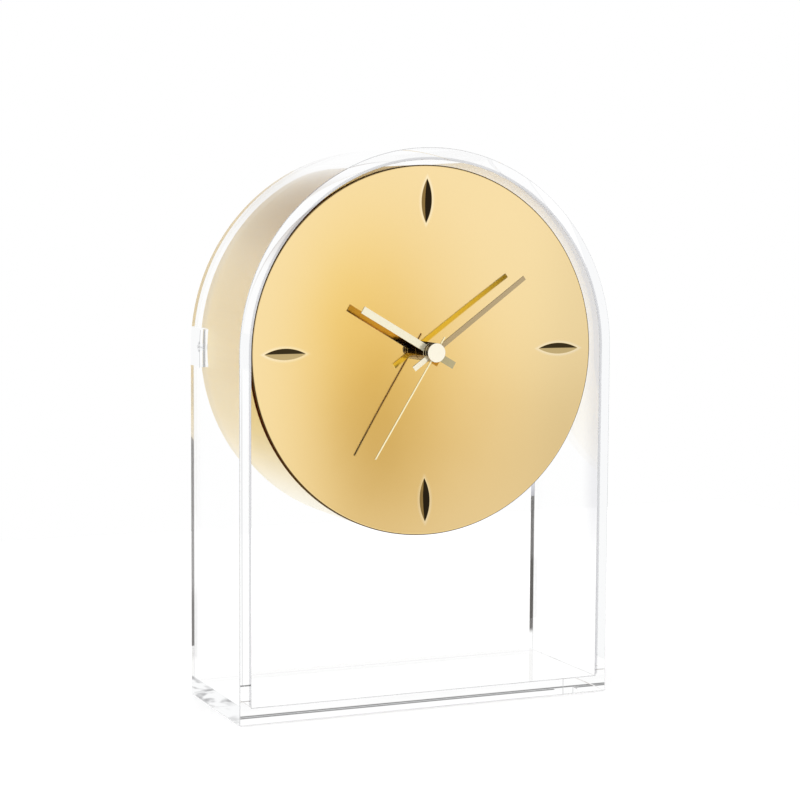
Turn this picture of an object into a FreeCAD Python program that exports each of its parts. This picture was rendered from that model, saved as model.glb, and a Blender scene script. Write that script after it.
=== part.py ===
import FreeCAD, Part
import math
import os

# A table clock: a gold drum with a dished dial, held by two clear lugs in a clear acrylic arch.
# Lengths are in millimetres and angles in degrees. +X is to the right of the dial, +Y is to the
# back and +Z is up. The origin is the middle of the case's footprint, on the surface it stands on.

Vector = FreeCAD.Vector
FORWARD = Vector(0, 1, 0)
SIDEWAYS = Vector(1, 0, 0)
UPWARD = Vector(0, 0, 1)

# Clear case: straight sides, a half-round top and a thicker base slab, open at the front and back
case_width = 216.0
case_depth = 80.0
case_height = 300.0
case_wall = 6.5
base_thickness = 9.0

# Clear lugs inside the case, level with the dial's centre, that carry the drum
lug_height = 20.0
lug_length = 15.0
lug_reach = 13.0
lug_back_setback = 0.6
lug_edge_radius = 1.5
lug_clearance = 0.3

# Screws that hold the drum to the lugs
screw_radius = 1.5
screw_length = 24.0
screw_head_radius = 2.8
screw_head_height = 2.0
screw_slot_width = 0.8
screw_slot_length = 3.6
screw_slot_depth = 1.0
screw_inset = 5.0
screw_hole_clearance = 0.2
screw_seat_length = 11.0
screw_seat_height = 12.0
screw_seat_width = 9.0

# Drum shell and its rear cover
drum_gap = 2.5
drum_wall = 2.6
drum_back_setback = 3.6
drum_back_chamfer = 0.8
bulkhead_thickness = 2.2
cover_thickness = 2.0
cover_clearance = 0.25
cover_skirt_length = 2.0
cover_skirt_wall = 1.4
cover_ledge_width = 2.0
cover_ledge_thickness = 2.0
cover_notch_radius = 9.0
cover_edge_chamfer = 0.5

# Dial: a shallow dish with a rounded edge and a skirt that caps the front of the drum
dial_setback = 7.0
dial_dish_depth = 3.2
dial_thickness = 2.0
dial_edge_radius = 0.8
dial_skirt_length = 4.0
dial_skirt_wall = 1.2
dial_hole_radius = 3.2
dial_fit = 0.1
dial_seam = 0.15

# Hour marks: pointed grooves with two flat-sloped flanks that meet in a crease
mark_count = 4
mark_length = 24.0
mark_width = 6.2
mark_depth = 1.35
mark_radius = 80.0
mark_tool_shares = (-1.0, 2.0)

# Hands: flat bars with a round eye, each on a turned boss; the hub is a stack of these
hub_radius = 5.1
hub_reach = 6.0
cap_thickness = 0.8
hub_gap = 0.4
hub_dial_gap = 0.5
press_clearance = 0.02
hour_length = 46.0
hour_tail = 15.0
hour_width = 4.0
hour_thickness = 0.6
hour_angle = 300.0
minute_length = 66.0
minute_tail = 14.5
minute_width = 2.9
minute_tip_width = 2.4
minute_thickness = 0.6
minute_boss_length = 1.9
minute_angle = 53.6
seconds_length = 65.2
seconds_tail = 9.7
seconds_width = 0.8
seconds_thickness = 0.4
seconds_boss_length = 1.3
seconds_angle = 211.9

# Movement: a square box with a lid, a train plate and a bay for one round cell
movement_size = 56.0
movement_wall = 1.2
movement_lid_thickness = 1.2
train_plate_thickness = 1.0
bushing_radius = 3.95
bushing_proud = 0.3
nut_width = 12.0
nut_height = 2.4
nut_dial_gap = 0.4
washer_radius = 9.0
washer_thickness = 0.8
washer_clearance = 0.1
battery_diameter = 14.5
battery_length = 50.5
battery_nub_radius = 2.75
battery_nub_length = 1.0
battery_shoulder = 0.5
battery_clearance = 0.15
battery_end_gap = 0.1
contact_thickness = 0.4
contact_width = 8.0
contact_height = 10.0
contact_spring_width = 5.0

# Gear train: layers along the centre line, arbors, and running fits
front_layer_count = 4
layer_pitch = 1.6
layer_clearance = 0.1
wheel_thickness = 0.9
pinion_length = 1.3
arbor_radius = 0.5
pivot_radius = 0.3
pivot_length = 0.6
arbor_end_play = 0.05
running_clearance = 0.05
minute_tube_radius = 1.6
hour_tube_radius = 2.55
motion_post_radius = 0.7
centre_opening_radius = 1.9
knob_stem_radius = 2.0
knob_pivot_radius = 1.0
knob_radius = 5.0
knob_length = 4.0
knob_gap = 0.3
knob_flute_count = 16
knob_flute_radius = 0.6

# Teeth: counts, modules, and the shape of one tooth as shares of the module and of the pitch
seconds_teeth = 60
seconds_pinion_teeth = 8
fifth_teeth = 40
fifth_pinion_teeth = 10
rotor_pinion_teeth = 8
third_teeth = 60
third_pinion_teeth = 8
centre_teeth = 64
cannon_teeth = 10
motion_teeth = 30
motion_pinion_teeth = 10
hour_teeth = 40
knob_teeth = 12
going_module = 0.3
third_module = 0.28
motion_module = 0.4
addendum_share = 0.85
dedendum_share = 1.05
tooth_tip_share = 0.12
tooth_root_share = 0.29

# Directions from one arbor to the next, seen from the front, from +X towards +Z
fifth_direction = 135.0
rotor_direction = 160.0
third_direction = 20.0
motion_direction = 180.0
knob_direction = 215.0

# Motor: magnet, stator, coil and circuit board
magnet_radius = 2.8
magnet_thickness = 1.2
stator_thickness = 1.0
stator_hole_radius = 3.3
stator_disc_radius = 5.6
stator_arm_width = 3.0
stator_left_reach = 8.3
stator_right_reach = 13.2
stator_bridge_drop = 1.5
stator_bridge_rise = 1.6
core_height = 2.0
coil_rise = 20.0
bobbin_radius = 1.9
bobbin_flange_radius = 3.5
bobbin_flange_thickness = 0.6
bobbin_end_gap = 0.3
core_clearance = 0.1
winding_radius = 3.1
board_left = 11.0
board_width = 8.8
board_height = 26.0
board_drop = 8.5
board_thickness = 1.0
chip_radius = 2.5
chip_height = 0.8
chip_rise = 8.0
crystal_radius = 1.0
crystal_length = 6.0
crystal_rise = 16.0
crystal_clearance = 0.05
plate_half_width = 26.5
plate_rise = 14.5
plate_bottom_gap = 0.4
plate_post_radius = 1.4
plate_post_inset = 0.3

# One overrun serves every cut, so that tools pass clear of the faces they cut
overrun = 1.0

# Depths along Y that follow from the sizes above
front = -case_depth / 2
back = case_depth / 2
outer_radius = case_width / 2
axis_z = case_height - outer_radius
inner_radius = outer_radius - case_wall
drum_radius = inner_radius - drum_gap
drum_inner_radius = drum_radius - drum_wall
drum_back = back - drum_back_setback
dial_rim_y = front + dial_setback
dial_centre_y = dial_rim_y + dial_dish_depth
dial_back_y = dial_centre_y + dial_thickness
dial_skirt_end = dial_rim_y + dial_skirt_length
dish_edge_radius = drum_radius - dial_edge_radius
dish_sphere = (dish_edge_radius ** 2 + dial_dish_depth ** 2) / (2 * dial_dish_depth)
dish_centre_y = dial_centre_y - dish_sphere

bushing_tip = dial_back_y + nut_dial_gap - bushing_proud
bulkhead_front = dial_back_y + nut_dial_gap + nut_height
bulkhead_back = bulkhead_front + bulkhead_thickness
lid_front = bulkhead_back + washer_thickness
lid_back = lid_front + movement_lid_thickness
bay_height = battery_diameter + 2 * battery_clearance
movement_back = lid_back + bay_height
movement_back_inner = movement_back - movement_wall
front_layers_start = lid_back + layer_clearance
plate_front = front_layers_start + front_layer_count * layer_pitch + layer_clearance
plate_back = plate_front + train_plate_thickness
rear_layers_start = plate_back + layer_clearance

# The hub's stack, from the cap at the front to the hour boss just clear of the dial
cap_front = front - hub_reach
cap_back = cap_front + cap_thickness
needle_back = cap_back + seconds_thickness
seconds_boss_back = needle_back + seconds_boss_length
minute_front = seconds_boss_back + hub_gap
minute_back = minute_front + minute_thickness
minute_boss_back = minute_back + minute_boss_length
hour_front = minute_boss_back + hub_gap
hour_back = hour_front + hour_thickness
hour_boss_back = dial_centre_y - hub_dial_gap

# Lugs and screws
lug_back = back - lug_back_setback
lug_front = lug_back - lug_length
lug_inner_x = inner_radius - lug_reach
screw_x = lug_inner_x + screw_inset
screw_head_front = lug_back - screw_head_height
cover_front = drum_back - cover_thickness
cover_radius = drum_inner_radius - cover_clearance
cover_skirt_radius = drum_inner_radius - cover_ledge_width - cover_clearance

# Battery bay along the bottom of the movement, and the gear chamber above it
movement_half = movement_size / 2
chamber_half = movement_half - movement_wall
bay_bottom = axis_z - chamber_half
bay_top = bay_bottom + bay_height
chamber_bottom = bay_top + movement_wall
chamber_top = axis_z + chamber_half
battery_y = (lid_back + movement_back) / 2
battery_z = (bay_bottom + bay_top) / 2
battery_right = chamber_half - contact_thickness - battery_end_gap
battery_left = battery_right - battery_length


# Places on the dial plane, as distances right of and above the centre line

def stepped(place, distance, direction):
    """Return the place that lies at a distance and direction from another."""
    angle = math.radians(direction)
    return (place[0] + distance * math.cos(angle), place[1] + distance * math.sin(angle))


def centre_distance(module, teeth, mate_teeth):
    """Return the spacing of two meshed gears."""
    return module * (teeth + mate_teeth) / 2


centre_line = (0, 0)
third_distance = centre_distance(third_module, third_teeth, seconds_pinion_teeth)
centre_module = 2 * third_distance / (centre_teeth + third_pinion_teeth)
motion_distance = centre_distance(motion_module, motion_teeth, cannon_teeth)
hour_module = 2 * motion_distance / (hour_teeth + motion_pinion_teeth)
fifth_distance = centre_distance(going_module, seconds_teeth, fifth_pinion_teeth)
rotor_distance = centre_distance(going_module, fifth_teeth, rotor_pinion_teeth)
knob_distance = centre_distance(motion_module, motion_teeth, knob_teeth)
fifth_place = stepped(centre_line, fifth_distance, fifth_direction)
rotor_place = stepped(fifth_place, rotor_distance, rotor_direction)
third_place = stepped(centre_line, third_distance, third_direction)
motion_place = stepped(centre_line, motion_distance, motion_direction)
knob_place = stepped(motion_place, knob_distance, knob_direction)


# Basic solids

def point(place, y):
    """Return the point of a place on the dial plane at a depth."""
    return Vector(place[0], y, axis_z + place[1])


def rod(radius, start, end, place=centre_line):
    """Return a round rod along Y."""
    return Part.makeCylinder(radius, end - start, point(place, start), FORWARD)


def tube(outer, inner, start, end, place=centre_line):
    """Return a round tube along Y."""
    bore = rod(inner, start - overrun, end + overrun, place)
    return rod(outer, start, end, place).cut(bore)


def block(x_range, y_range, z_range):
    """Return a box between two values on each axis."""
    corner = Vector(x_range[0], y_range[0], z_range[0])
    far_corner = Vector(x_range[1], y_range[1], z_range[1])
    size = far_corner - corner
    return Part.makeBox(size.x, size.y, size.z, corner)


def fused(shapes):
    """Return one clean solid made of touching or overlapping shapes."""
    return shapes[0].fuse(shapes[1:]).removeSplitter()


def turned(outline):
    """Return the solid of revolution of an outline of edges about the centre line."""
    face = Part.Face(Part.Wire(Part.__sortEdges__(outline)))
    return face.revolve(point(centre_line, 0), FORWARD, 360)


def turned_polygon(places):
    """Return the solid of revolution of a polygon given as radius and depth pairs."""
    corners = [Vector(radius, y, axis_z) for radius, y in places]
    following = corners[1:] + corners[:1]
    return turned([Part.LineSegment(a, b).toShape() for a, b in zip(corners, following)])


def around_centre(shape, angle):
    """Return a copy of a shape turned clockwise, seen from the front, about the centre line."""
    copy = shape.copy()
    copy.rotate(point(centre_line, 0), FORWARD, angle)
    return copy


def mirrored_sideways(shape):
    """Return the mirror image of a shape on the other side of the clock."""
    return shape.mirror(Vector(0, 0, 0), SIDEWAYS)


# Gears

def tooth_outline(teeth, module, phase):
    """Return the corners of a gear as radius and angle pairs, with a tooth centred on the phase."""
    pitch_radius = module * teeth / 2
    root = pitch_radius - dedendum_share * module
    tip = pitch_radius + addendum_share * module
    pitch = 2 * math.pi / teeth
    steps = [
        (root, -tooth_root_share),
        (tip, -tooth_tip_share),
        (tip, tooth_tip_share),
        (root, tooth_root_share),
    ]
    return [(radius, phase + pitch * (index + share)) for index in range(teeth) for radius, share in steps]


def gear(teeth, module, place, middle, length, phase):
    """Return a toothed disc along Y, centred on a depth."""
    start = middle - length / 2
    corners = []
    for radius, angle in tooth_outline(teeth, module, phase):
        corners.append(point(stepped(place, radius, math.degrees(angle)), start))
    face = Part.Face(Part.makePolygon(corners + corners[:1]))
    return face.extrude(FORWARD * length)


def mate_phase(phase, teeth, mate_teeth, direction):
    """Return the phase that meshes a mate, which lies in a direction, with a gear of known phase."""
    line = math.radians(direction)
    return line + math.pi - (phase - line) * teeth / mate_teeth - math.pi / mate_teeth


def front_layer(index):
    """Return the middle of a gear layer between the lid and the train plate, from the front."""
    return front_layers_start + (index + 1 / 2) * layer_pitch


def rear_layer(index):
    """Return the middle of a gear layer between the train plate and the movement's back wall."""
    return rear_layers_start + (index + 1 / 2) * layer_pitch


def layer_end(middle):
    """Return the rear end of a pinion in a layer."""
    return middle + pinion_length / 2


def layer_start(middle):
    """Return the front end of a pinion in a layer."""
    return middle - pinion_length / 2


def pivoted_arbor(place, front_wall, rear_wall):
    """Return an arbor with a thin pivot in each of the two walls that it runs between."""
    body = rod(arbor_radius, front_wall + arbor_end_play, rear_wall - arbor_end_play, place)
    return fused([body, rod(pivot_radius, front_wall - pivot_length, rear_wall + pivot_length, place)])


def pivot_hole(place, wall_face, side):
    """Return the cutter of a blind bearing hole that goes into a wall on its front or rear side."""
    radius = pivot_radius + running_clearance
    depth = pivot_length + running_clearance
    if side == "front":
        return rod(radius, wall_face - depth, wall_face + overrun, place)
    return rod(radius, wall_face - overrun, wall_face + depth, place)


hour_layer = front_layer(0)
motion_layer = front_layer(1)
centre_layer = front_layer(2)
third_layer = front_layer(3)
magnet_layer = rear_layer(0)
rotor_layer = rear_layer(1)
seconds_layer = rear_layer(2)

# A tooth of the driving gear lies on each line of centres, and its mate's gap faces it
going_phase = math.radians(fifth_direction)
fifth_pinion_phase = mate_phase(going_phase, seconds_teeth, fifth_pinion_teeth, fifth_direction)
fifth_phase = math.radians(rotor_direction)
rotor_phase = mate_phase(fifth_phase, fifth_teeth, rotor_pinion_teeth, rotor_direction)
seconds_pinion_phase = math.radians(third_direction)
third_phase = mate_phase(seconds_pinion_phase, seconds_pinion_teeth, third_teeth, third_direction)
centre_phase = math.radians(third_direction)
third_pinion_phase = mate_phase(centre_phase, centre_teeth, third_pinion_teeth, third_direction)
cannon_phase = math.radians(motion_direction)
motion_phase = mate_phase(cannon_phase, cannon_teeth, motion_teeth, motion_direction)
hour_phase = math.radians(motion_direction)
motion_pinion_phase = mate_phase(hour_phase, hour_teeth, motion_pinion_teeth, motion_direction)
knob_phase = mate_phase(motion_phase, motion_teeth, knob_teeth, knob_direction)


# The clear case

def arch_face(half_width, bottom, y):
    """Return the upright face of an arch: straight sides from a bottom level and a half-round top."""
    corners = [Vector(-half_width, y, axis_z), Vector(-half_width, y, bottom), Vector(half_width, y, bottom)]
    corners.append(Vector(half_width, y, axis_z))
    top = Part.Arc(corners[3], Vector(0, y, axis_z + half_width), corners[0]).toShape()
    sides = [Part.LineSegment(a, b).toShape() for a, b in zip(corners, corners[1:])]
    return Part.Face(Part.Wire(sides + [top]))


def clear_lug():
    """Return the right-hand lug with its rounded inner edges and its counterbored screw hole."""
    body = block(
        (lug_inner_x, inner_radius + case_wall / 2),
        (lug_front, lug_back),
        (axis_z - lug_height / 2, axis_z + lug_height / 2),
    )
    inner_edges = []
    for edge in body.Edges:
        at_inner_face = abs(edge.CenterOfMass.x - lug_inner_x) < lug_edge_radius / 2
        if at_inner_face and edge.Length > lug_height - lug_edge_radius:
            inner_edges.append(edge)
    hole = rod(screw_radius + screw_hole_clearance, lug_front - overrun, lug_back + overrun, (screw_x, 0))
    recess = rod(screw_head_radius + screw_hole_clearance, screw_head_front, lug_back + overrun, (screw_x, 0))
    return body.makeFillet(lug_edge_radius, inner_edges).cut(hole).cut(recess)


def clear_case():
    """Return the clear moulding: the arch, its base slab and the two lugs."""
    outside = arch_face(outer_radius, 0, front).extrude(FORWARD * case_depth)
    inside = arch_face(inner_radius, base_thickness, front - overrun)
    inside = inside.extrude(FORWARD * (case_depth + 2 * overrun))
    lug = clear_lug()
    return fused([outside.cut(inside), lug, mirrored_sideways(lug)])


def lug_screws():
    """Return the two screws, each with a cross slot in its head."""
    slot_y = (lug_back - screw_slot_depth, lug_back + overrun)
    long_half = screw_slot_length / 2
    thin_half = screw_slot_width / 2
    screws = []
    for side in (-1, 1):
        x = side * screw_x
        head = rod(screw_head_radius, screw_head_front, lug_back, (x, 0))
        shank = rod(screw_radius, lug_back - screw_length, screw_head_front, (x, 0))
        across = block((x - long_half, x + long_half), slot_y, (axis_z - thin_half, axis_z + thin_half))
        upright = block((x - thin_half, x + thin_half), slot_y, (axis_z - long_half, axis_z + long_half))
        screws.append(fused([head, shank]).cut(across).cut(upright))
    return Part.makeCompound(screws)


# The drum

def dish_y(radius, offset):
    """Return the depth of the dish at a radius, on its front face or offset behind it."""
    return dish_centre_y + math.sqrt((dish_sphere + offset) ** 2 - radius ** 2)


def dish_arc(inner, outer, offset):
    """Return the outline edge of the dish between two radii."""
    middle = (inner + outer) / 2
    corners = [Vector(radius, dish_y(radius, offset), axis_z) for radius in (inner, middle, outer)]
    return Part.Arc(corners[0], corners[1], corners[2]).toShape()


def mark_cutter():
    """Return the cutter of the mark at the top: two slanted round prisms that share a pointed lens."""
    half_width = mark_width / 2
    arc_radius = ((mark_length / 2) ** 2 + half_width ** 2) / mark_width
    surface = Vector(0, dish_y(mark_radius, 0), axis_z + mark_radius)
    halves = []
    for side in (-1, 1):
        # One slanted prism: its far side is the groove's flank, which reaches the middle at full depth
        slant = Vector(-side * half_width, mark_depth, 0)
        start = surface + Vector(side * (half_width - arc_radius), 0, 0) + slant * mark_tool_shares[0]
        circle = Part.Circle(start, FORWARD, arc_radius)
        disc = Part.Face(Part.Wire([circle.toShape()]))
        halves.append(disc.extrude(slant * (mark_tool_shares[1] - mark_tool_shares[0])))
    cutter = halves[0].common(halves[1])
    slope = math.degrees(math.asin(mark_radius / dish_sphere))
    cutter.rotate(surface, SIDEWAYS, slope)
    return cutter


def dial():
    """Return the dished dial with its rounded edge, skirt and four grooves."""
    skirt_inner = drum_radius - dial_skirt_wall
    rim = Vector(dish_edge_radius, dial_rim_y, axis_z)
    bend = dial_edge_radius * math.sin(math.radians(45))
    bend_middle = Vector(dish_edge_radius + bend, dial_rim_y + dial_edge_radius - bend, axis_z)
    side = Vector(drum_radius, dial_rim_y + dial_edge_radius, axis_z)
    skirt_corners = [
        side,
        Vector(drum_radius, dial_skirt_end, axis_z),
        Vector(skirt_inner, dial_skirt_end, axis_z),
        Vector(skirt_inner, dish_y(skirt_inner, dial_thickness), axis_z),
    ]
    outline = [dish_arc(dial_hole_radius, dish_edge_radius, 0), Part.Arc(rim, bend_middle, side).toShape()]
    outline += [Part.LineSegment(a, b).toShape() for a, b in zip(skirt_corners, skirt_corners[1:])]
    outline.append(dish_arc(dial_hole_radius, skirt_inner, dial_thickness))
    hole_front = Vector(dial_hole_radius, dish_y(dial_hole_radius, 0), axis_z)
    hole_back = Vector(dial_hole_radius, dish_y(dial_hole_radius, dial_thickness), axis_z)
    outline.append(Part.LineSegment(hole_back, hole_front).toShape())
    plate = turned(outline)
    cutter = mark_cutter()
    for index in range(mark_count):
        plate = plate.cut(around_centre(cutter, 360 * index / mark_count))
    return plate


def lug_slot(side, start, end):
    """Return the cutter that clears one lug between two depths."""
    half_height = lug_height / 2 + lug_clearance
    edges = sorted((side * (lug_inner_x - lug_clearance), side * (drum_radius + overrun)))
    return block(edges, (start, end), (axis_z - half_height, axis_z + half_height))


def drum_shell():
    """Return the round shell: dial spigot, bulkhead, wall, cover ledge and the two screw seats."""
    spigot_radius = drum_radius - dial_skirt_wall - dial_fit
    spigot_front = dish_y(drum_inner_radius, dial_thickness) + dial_fit
    seam = dial_skirt_end + dial_seam
    ledge_front = cover_front - cover_ledge_thickness
    ledge_radius = drum_inner_radius - cover_ledge_width
    shell = turned_polygon([
        (spigot_radius, spigot_front),
        (spigot_radius, seam),
        (drum_radius, seam),
        (drum_radius, drum_back - drum_back_chamfer),
        (drum_radius - drum_back_chamfer, drum_back),
        (drum_inner_radius, drum_back),
        (drum_inner_radius, cover_front),
        (ledge_radius, cover_front),
        (ledge_radius, ledge_front),
        (drum_inner_radius, ledge_front),
        (drum_inner_radius, bulkhead_back),
        (bushing_radius + dial_fit, bulkhead_back),
        (bushing_radius + dial_fit, bulkhead_front),
        (drum_inner_radius, bulkhead_front),
        (drum_inner_radius, spigot_front),
    ])
    slot_front = lug_front - lug_clearance
    seat_wall = drum_inner_radius + drum_wall / 2
    for side in (-1, 1):
        shell = shell.cut(lug_slot(side, slot_front, drum_back + overrun))
        seat_x = sorted((side * (screw_x - screw_seat_width / 2), side * drum_radius))
        seat_z = (axis_z - screw_seat_height / 2, axis_z + screw_seat_height / 2)
        seat = block(seat_x, (slot_front - screw_seat_length, slot_front), seat_z)
        seat = seat.common(rod(seat_wall, front, back))
        pilot = rod(screw_radius + press_clearance, front, slot_front + overrun, (side * screw_x, 0))
        shell = fused([shell, seat.cut(pilot)])
    return shell


def rear_cover():
    """Return the pull-off cover: a disc with a gripping skirt, lug slots and a finger notch."""
    disc = turned_polygon([
        (0, cover_front),
        (cover_radius, cover_front),
        (cover_radius, drum_back - cover_edge_chamfer),
        (cover_radius - cover_edge_chamfer, drum_back),
        (0, drum_back),
    ])
    skirt_front = cover_front - cover_skirt_length
    skirt = tube(cover_skirt_radius, cover_skirt_radius - cover_skirt_wall, skirt_front, cover_front)
    cover = fused([disc, skirt])
    cut_depths = (skirt_front - overrun, drum_back + overrun)
    for side in (-1, 1):
        cover = cover.cut(lug_slot(side, *cut_depths))
    return cover.cut(rod(cover_notch_radius, *cut_depths, (0, -cover_radius)))


# The hands and the hub

def hand(length, tail, root_width, tip_width, y_front, thickness, bore, angle):
    """Return a flat hand with a round eye, turned clockwise from twelve o'clock."""
    corners = [
        point((-root_width / 2, -tail), y_front),
        point((root_width / 2, -tail), y_front),
        point((tip_width / 2, length), y_front),
        point((-tip_width / 2, length), y_front),
    ]
    bar = Part.Face(Part.makePolygon(corners + corners[:1])).extrude(FORWARD * thickness)
    eye = rod(hub_radius, y_front, y_front + thickness)
    hole = rod(bore, y_front - overrun, y_front + thickness + overrun)
    return around_centre(fused([bar, eye]).cut(hole), angle)


minute_bore = minute_tube_radius + press_clearance
hour_bore = hour_tube_radius + press_clearance
seconds_bore = arbor_radius + press_clearance


def hour_hand():
    """Return the hour hand."""
    sizes = (hour_length, hour_tail, hour_width, hour_width)
    return hand(*sizes, hour_front, hour_thickness, hour_bore, hour_angle)


def minute_hand():
    """Return the minute hand, slightly narrower at its tip."""
    sizes = (minute_length, minute_tail, minute_width, minute_tip_width)
    return hand(*sizes, minute_front, minute_thickness, minute_bore, minute_angle)


def seconds_hand():
    """Return the seconds needle."""
    sizes = (seconds_length, seconds_tail, seconds_width, seconds_width)
    return hand(*sizes, cap_back, seconds_thickness, seconds_bore, seconds_angle)


def hub_cap():
    """Return the round cap at the front of the hub, with a blind hole for the seconds arbor."""
    bore = rod(seconds_bore, (cap_front + cap_back) / 2, cap_back + overrun)
    return rod(hub_radius, cap_front, cap_back).cut(bore)


# The gear train

def seconds_wheel():
    """Return the seconds wheel, its pinion and the long arbor that carries the seconds hand."""
    start = (cap_front + cap_back) / 2 + arbor_end_play
    arbor = rod(arbor_radius, start, movement_back_inner - arbor_end_play)
    pivot = rod(pivot_radius, seconds_layer, movement_back_inner + pivot_length)
    wheel = gear(seconds_teeth, going_module, centre_line, seconds_layer, wheel_thickness, going_phase)
    pinion_sizes = (third_layer, pinion_length, seconds_pinion_phase)
    pinion = gear(seconds_pinion_teeth, third_module, centre_line, *pinion_sizes)
    return fused([arbor, pivot, wheel, pinion])


def fifth_wheel():
    """Return the wheel between the rotor and the seconds wheel."""
    wheel = gear(fifth_teeth, going_module, fifth_place, rotor_layer, wheel_thickness, fifth_phase)
    pinion_sizes = (seconds_layer, pinion_length, fifth_pinion_phase)
    pinion = gear(fifth_pinion_teeth, going_module, fifth_place, *pinion_sizes)
    return fused([pivoted_arbor(fifth_place, plate_back, movement_back_inner), wheel, pinion])


def rotor():
    """Return the motor's rotor arbor and pinion."""
    pinion = gear(rotor_pinion_teeth, going_module, rotor_place, rotor_layer, pinion_length, rotor_phase)
    return fused([pivoted_arbor(rotor_place, plate_back, movement_back_inner), pinion])


def rotor_magnet():
    """Return the round magnet pressed on the rotor."""
    start = magnet_layer - magnet_thickness / 2
    return tube(magnet_radius, seconds_bore, start, start + magnet_thickness, rotor_place)


def third_wheel():
    """Return the wheel between the seconds pinion and the centre wheel."""
    wheel = gear(third_teeth, third_module, third_place, third_layer, wheel_thickness, third_phase)
    pinion_sizes = (centre_layer, pinion_length, third_pinion_phase)
    pinion = gear(third_pinion_teeth, centre_module, third_place, *pinion_sizes)
    return fused([pivoted_arbor(third_place, lid_back, plate_front), wheel, pinion])


def centre_wheel():
    """Return the wheel that drives the minute arbor through a slipping fit."""
    wheel = gear(centre_teeth, centre_module, centre_line, centre_layer, wheel_thickness, centre_phase)
    bore = rod(minute_tube_radius + running_clearance, centre_layer - overrun, centre_layer + overrun)
    return wheel.cut(bore)


def minute_arbor():
    """Return the minute tube with its cannon pinion, which turns on the seconds arbor."""
    bore = rod(arbor_radius + running_clearance, minute_front - overrun, layer_end(centre_layer) + overrun)
    stem = rod(minute_tube_radius, minute_front, layer_end(centre_layer))
    pinion = gear(cannon_teeth, motion_module, centre_line, motion_layer, pinion_length, cannon_phase)
    waist = tube(
        motion_module * cannon_teeth,
        motion_module * (cannon_teeth / 2 - dedendum_share),
        layer_start(motion_layer),
        layer_end(motion_layer),
    )
    return fused([stem.cut(waist), pinion]).cut(bore)


def hour_wheel():
    """Return the hour wheel and its tube, which turns on the minute tube inside the bushing."""
    end = hour_layer + wheel_thickness / 2
    wheel = gear(hour_teeth, hour_module, centre_line, hour_layer, wheel_thickness, hour_phase)
    bore = rod(minute_tube_radius + running_clearance, hour_front - overrun, end + overrun)
    return fused([rod(hour_tube_radius, hour_front, end), wheel]).cut(bore)


def motion_wheel():
    """Return the wheel that joins the cannon pinion, the hour wheel and the setting knob."""
    wheel = gear(motion_teeth, motion_module, motion_place, motion_layer, wheel_thickness, motion_phase)
    start = layer_start(hour_layer)
    pinion_sizes = ((start + motion_layer) / 2, motion_layer - start, motion_pinion_phase)
    pinion = gear(motion_pinion_teeth, hour_module, motion_place, *pinion_sizes)
    bore_radius = motion_post_radius + running_clearance
    bore = rod(bore_radius, start - overrun, layer_end(motion_layer), motion_place)
    return fused([wheel, pinion]).cut(bore)


def setting_knob():
    """Return the setting knob: front pivot, pinion, stem and a fluted head behind the movement."""
    head_start = movement_back + knob_gap
    head_end = head_start + knob_length
    head = rod(knob_radius, head_start, head_end, knob_place)
    for index in range(knob_flute_count):
        flute_place = stepped(knob_place, knob_radius, 360 * index / knob_flute_count)
        head = head.cut(rod(knob_flute_radius, head_start - overrun, head_end + overrun, flute_place))
    pinion = gear(knob_teeth, motion_module, knob_place, motion_layer, pinion_length, knob_phase)
    stem = rod(knob_stem_radius, layer_end(motion_layer), head_start, knob_place)
    pivot = rod(knob_pivot_radius, lid_back - pivot_length, layer_start(motion_layer), knob_place)
    return fused([pivot, pinion, stem, head])


# The movement's housing

def movement_lid():
    """Return the movement's front wall with the bushing, the motion post and bearing holes."""
    half = movement_half
    middle = lid_front + movement_lid_thickness / 2
    wall = block((-half, half), (lid_front, lid_back), (axis_z - half, axis_z + half))
    bushing = rod(bushing_radius, bushing_tip, middle)
    post = rod(motion_post_radius, middle, layer_end(motion_layer), motion_place)
    knob_hole_radius = knob_pivot_radius + running_clearance
    knob_hole_front = lid_back - pivot_length - running_clearance
    lid = fused([wall, bushing, post])
    cutters = [
        rod(hour_tube_radius + running_clearance, bushing_tip - overrun, lid_back + overrun),
        pivot_hole(third_place, lid_back, "front"),
        rod(knob_hole_radius, knob_hole_front, lid_back + overrun, knob_place),
    ]
    for cutter in cutters:
        lid = lid.cut(cutter)
    return lid


def train_plate():
    """Return the plate between the two gear spaces, with four posts that the box clamps."""
    bottom = chamber_bottom + plate_bottom_gap
    post_margin = plate_post_radius + plate_post_inset
    post_x = plate_half_width - post_margin
    parts = [block(
        (-plate_half_width, plate_half_width),
        (plate_front, plate_back),
        (bottom, axis_z + plate_rise),
    )]
    for x in (-post_x, post_x):
        for rise in (bottom - axis_z + post_margin, plate_rise - post_margin):
            parts.append(rod(plate_post_radius, lid_back, movement_back_inner, (x, rise)))
    plate = fused(parts)
    through = (plate_front - overrun, plate_back + overrun)
    openings = [
        rod(centre_opening_radius, *through),
        rod(knob_stem_radius + running_clearance, *through, knob_place),
        pivot_hole(third_place, plate_front, "rear"),
        pivot_hole(fifth_place, plate_back, "front"),
        pivot_hole(rotor_place, plate_back, "front"),
    ]
    for opening in openings:
        plate = plate.cut(opening)
    return plate


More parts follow.
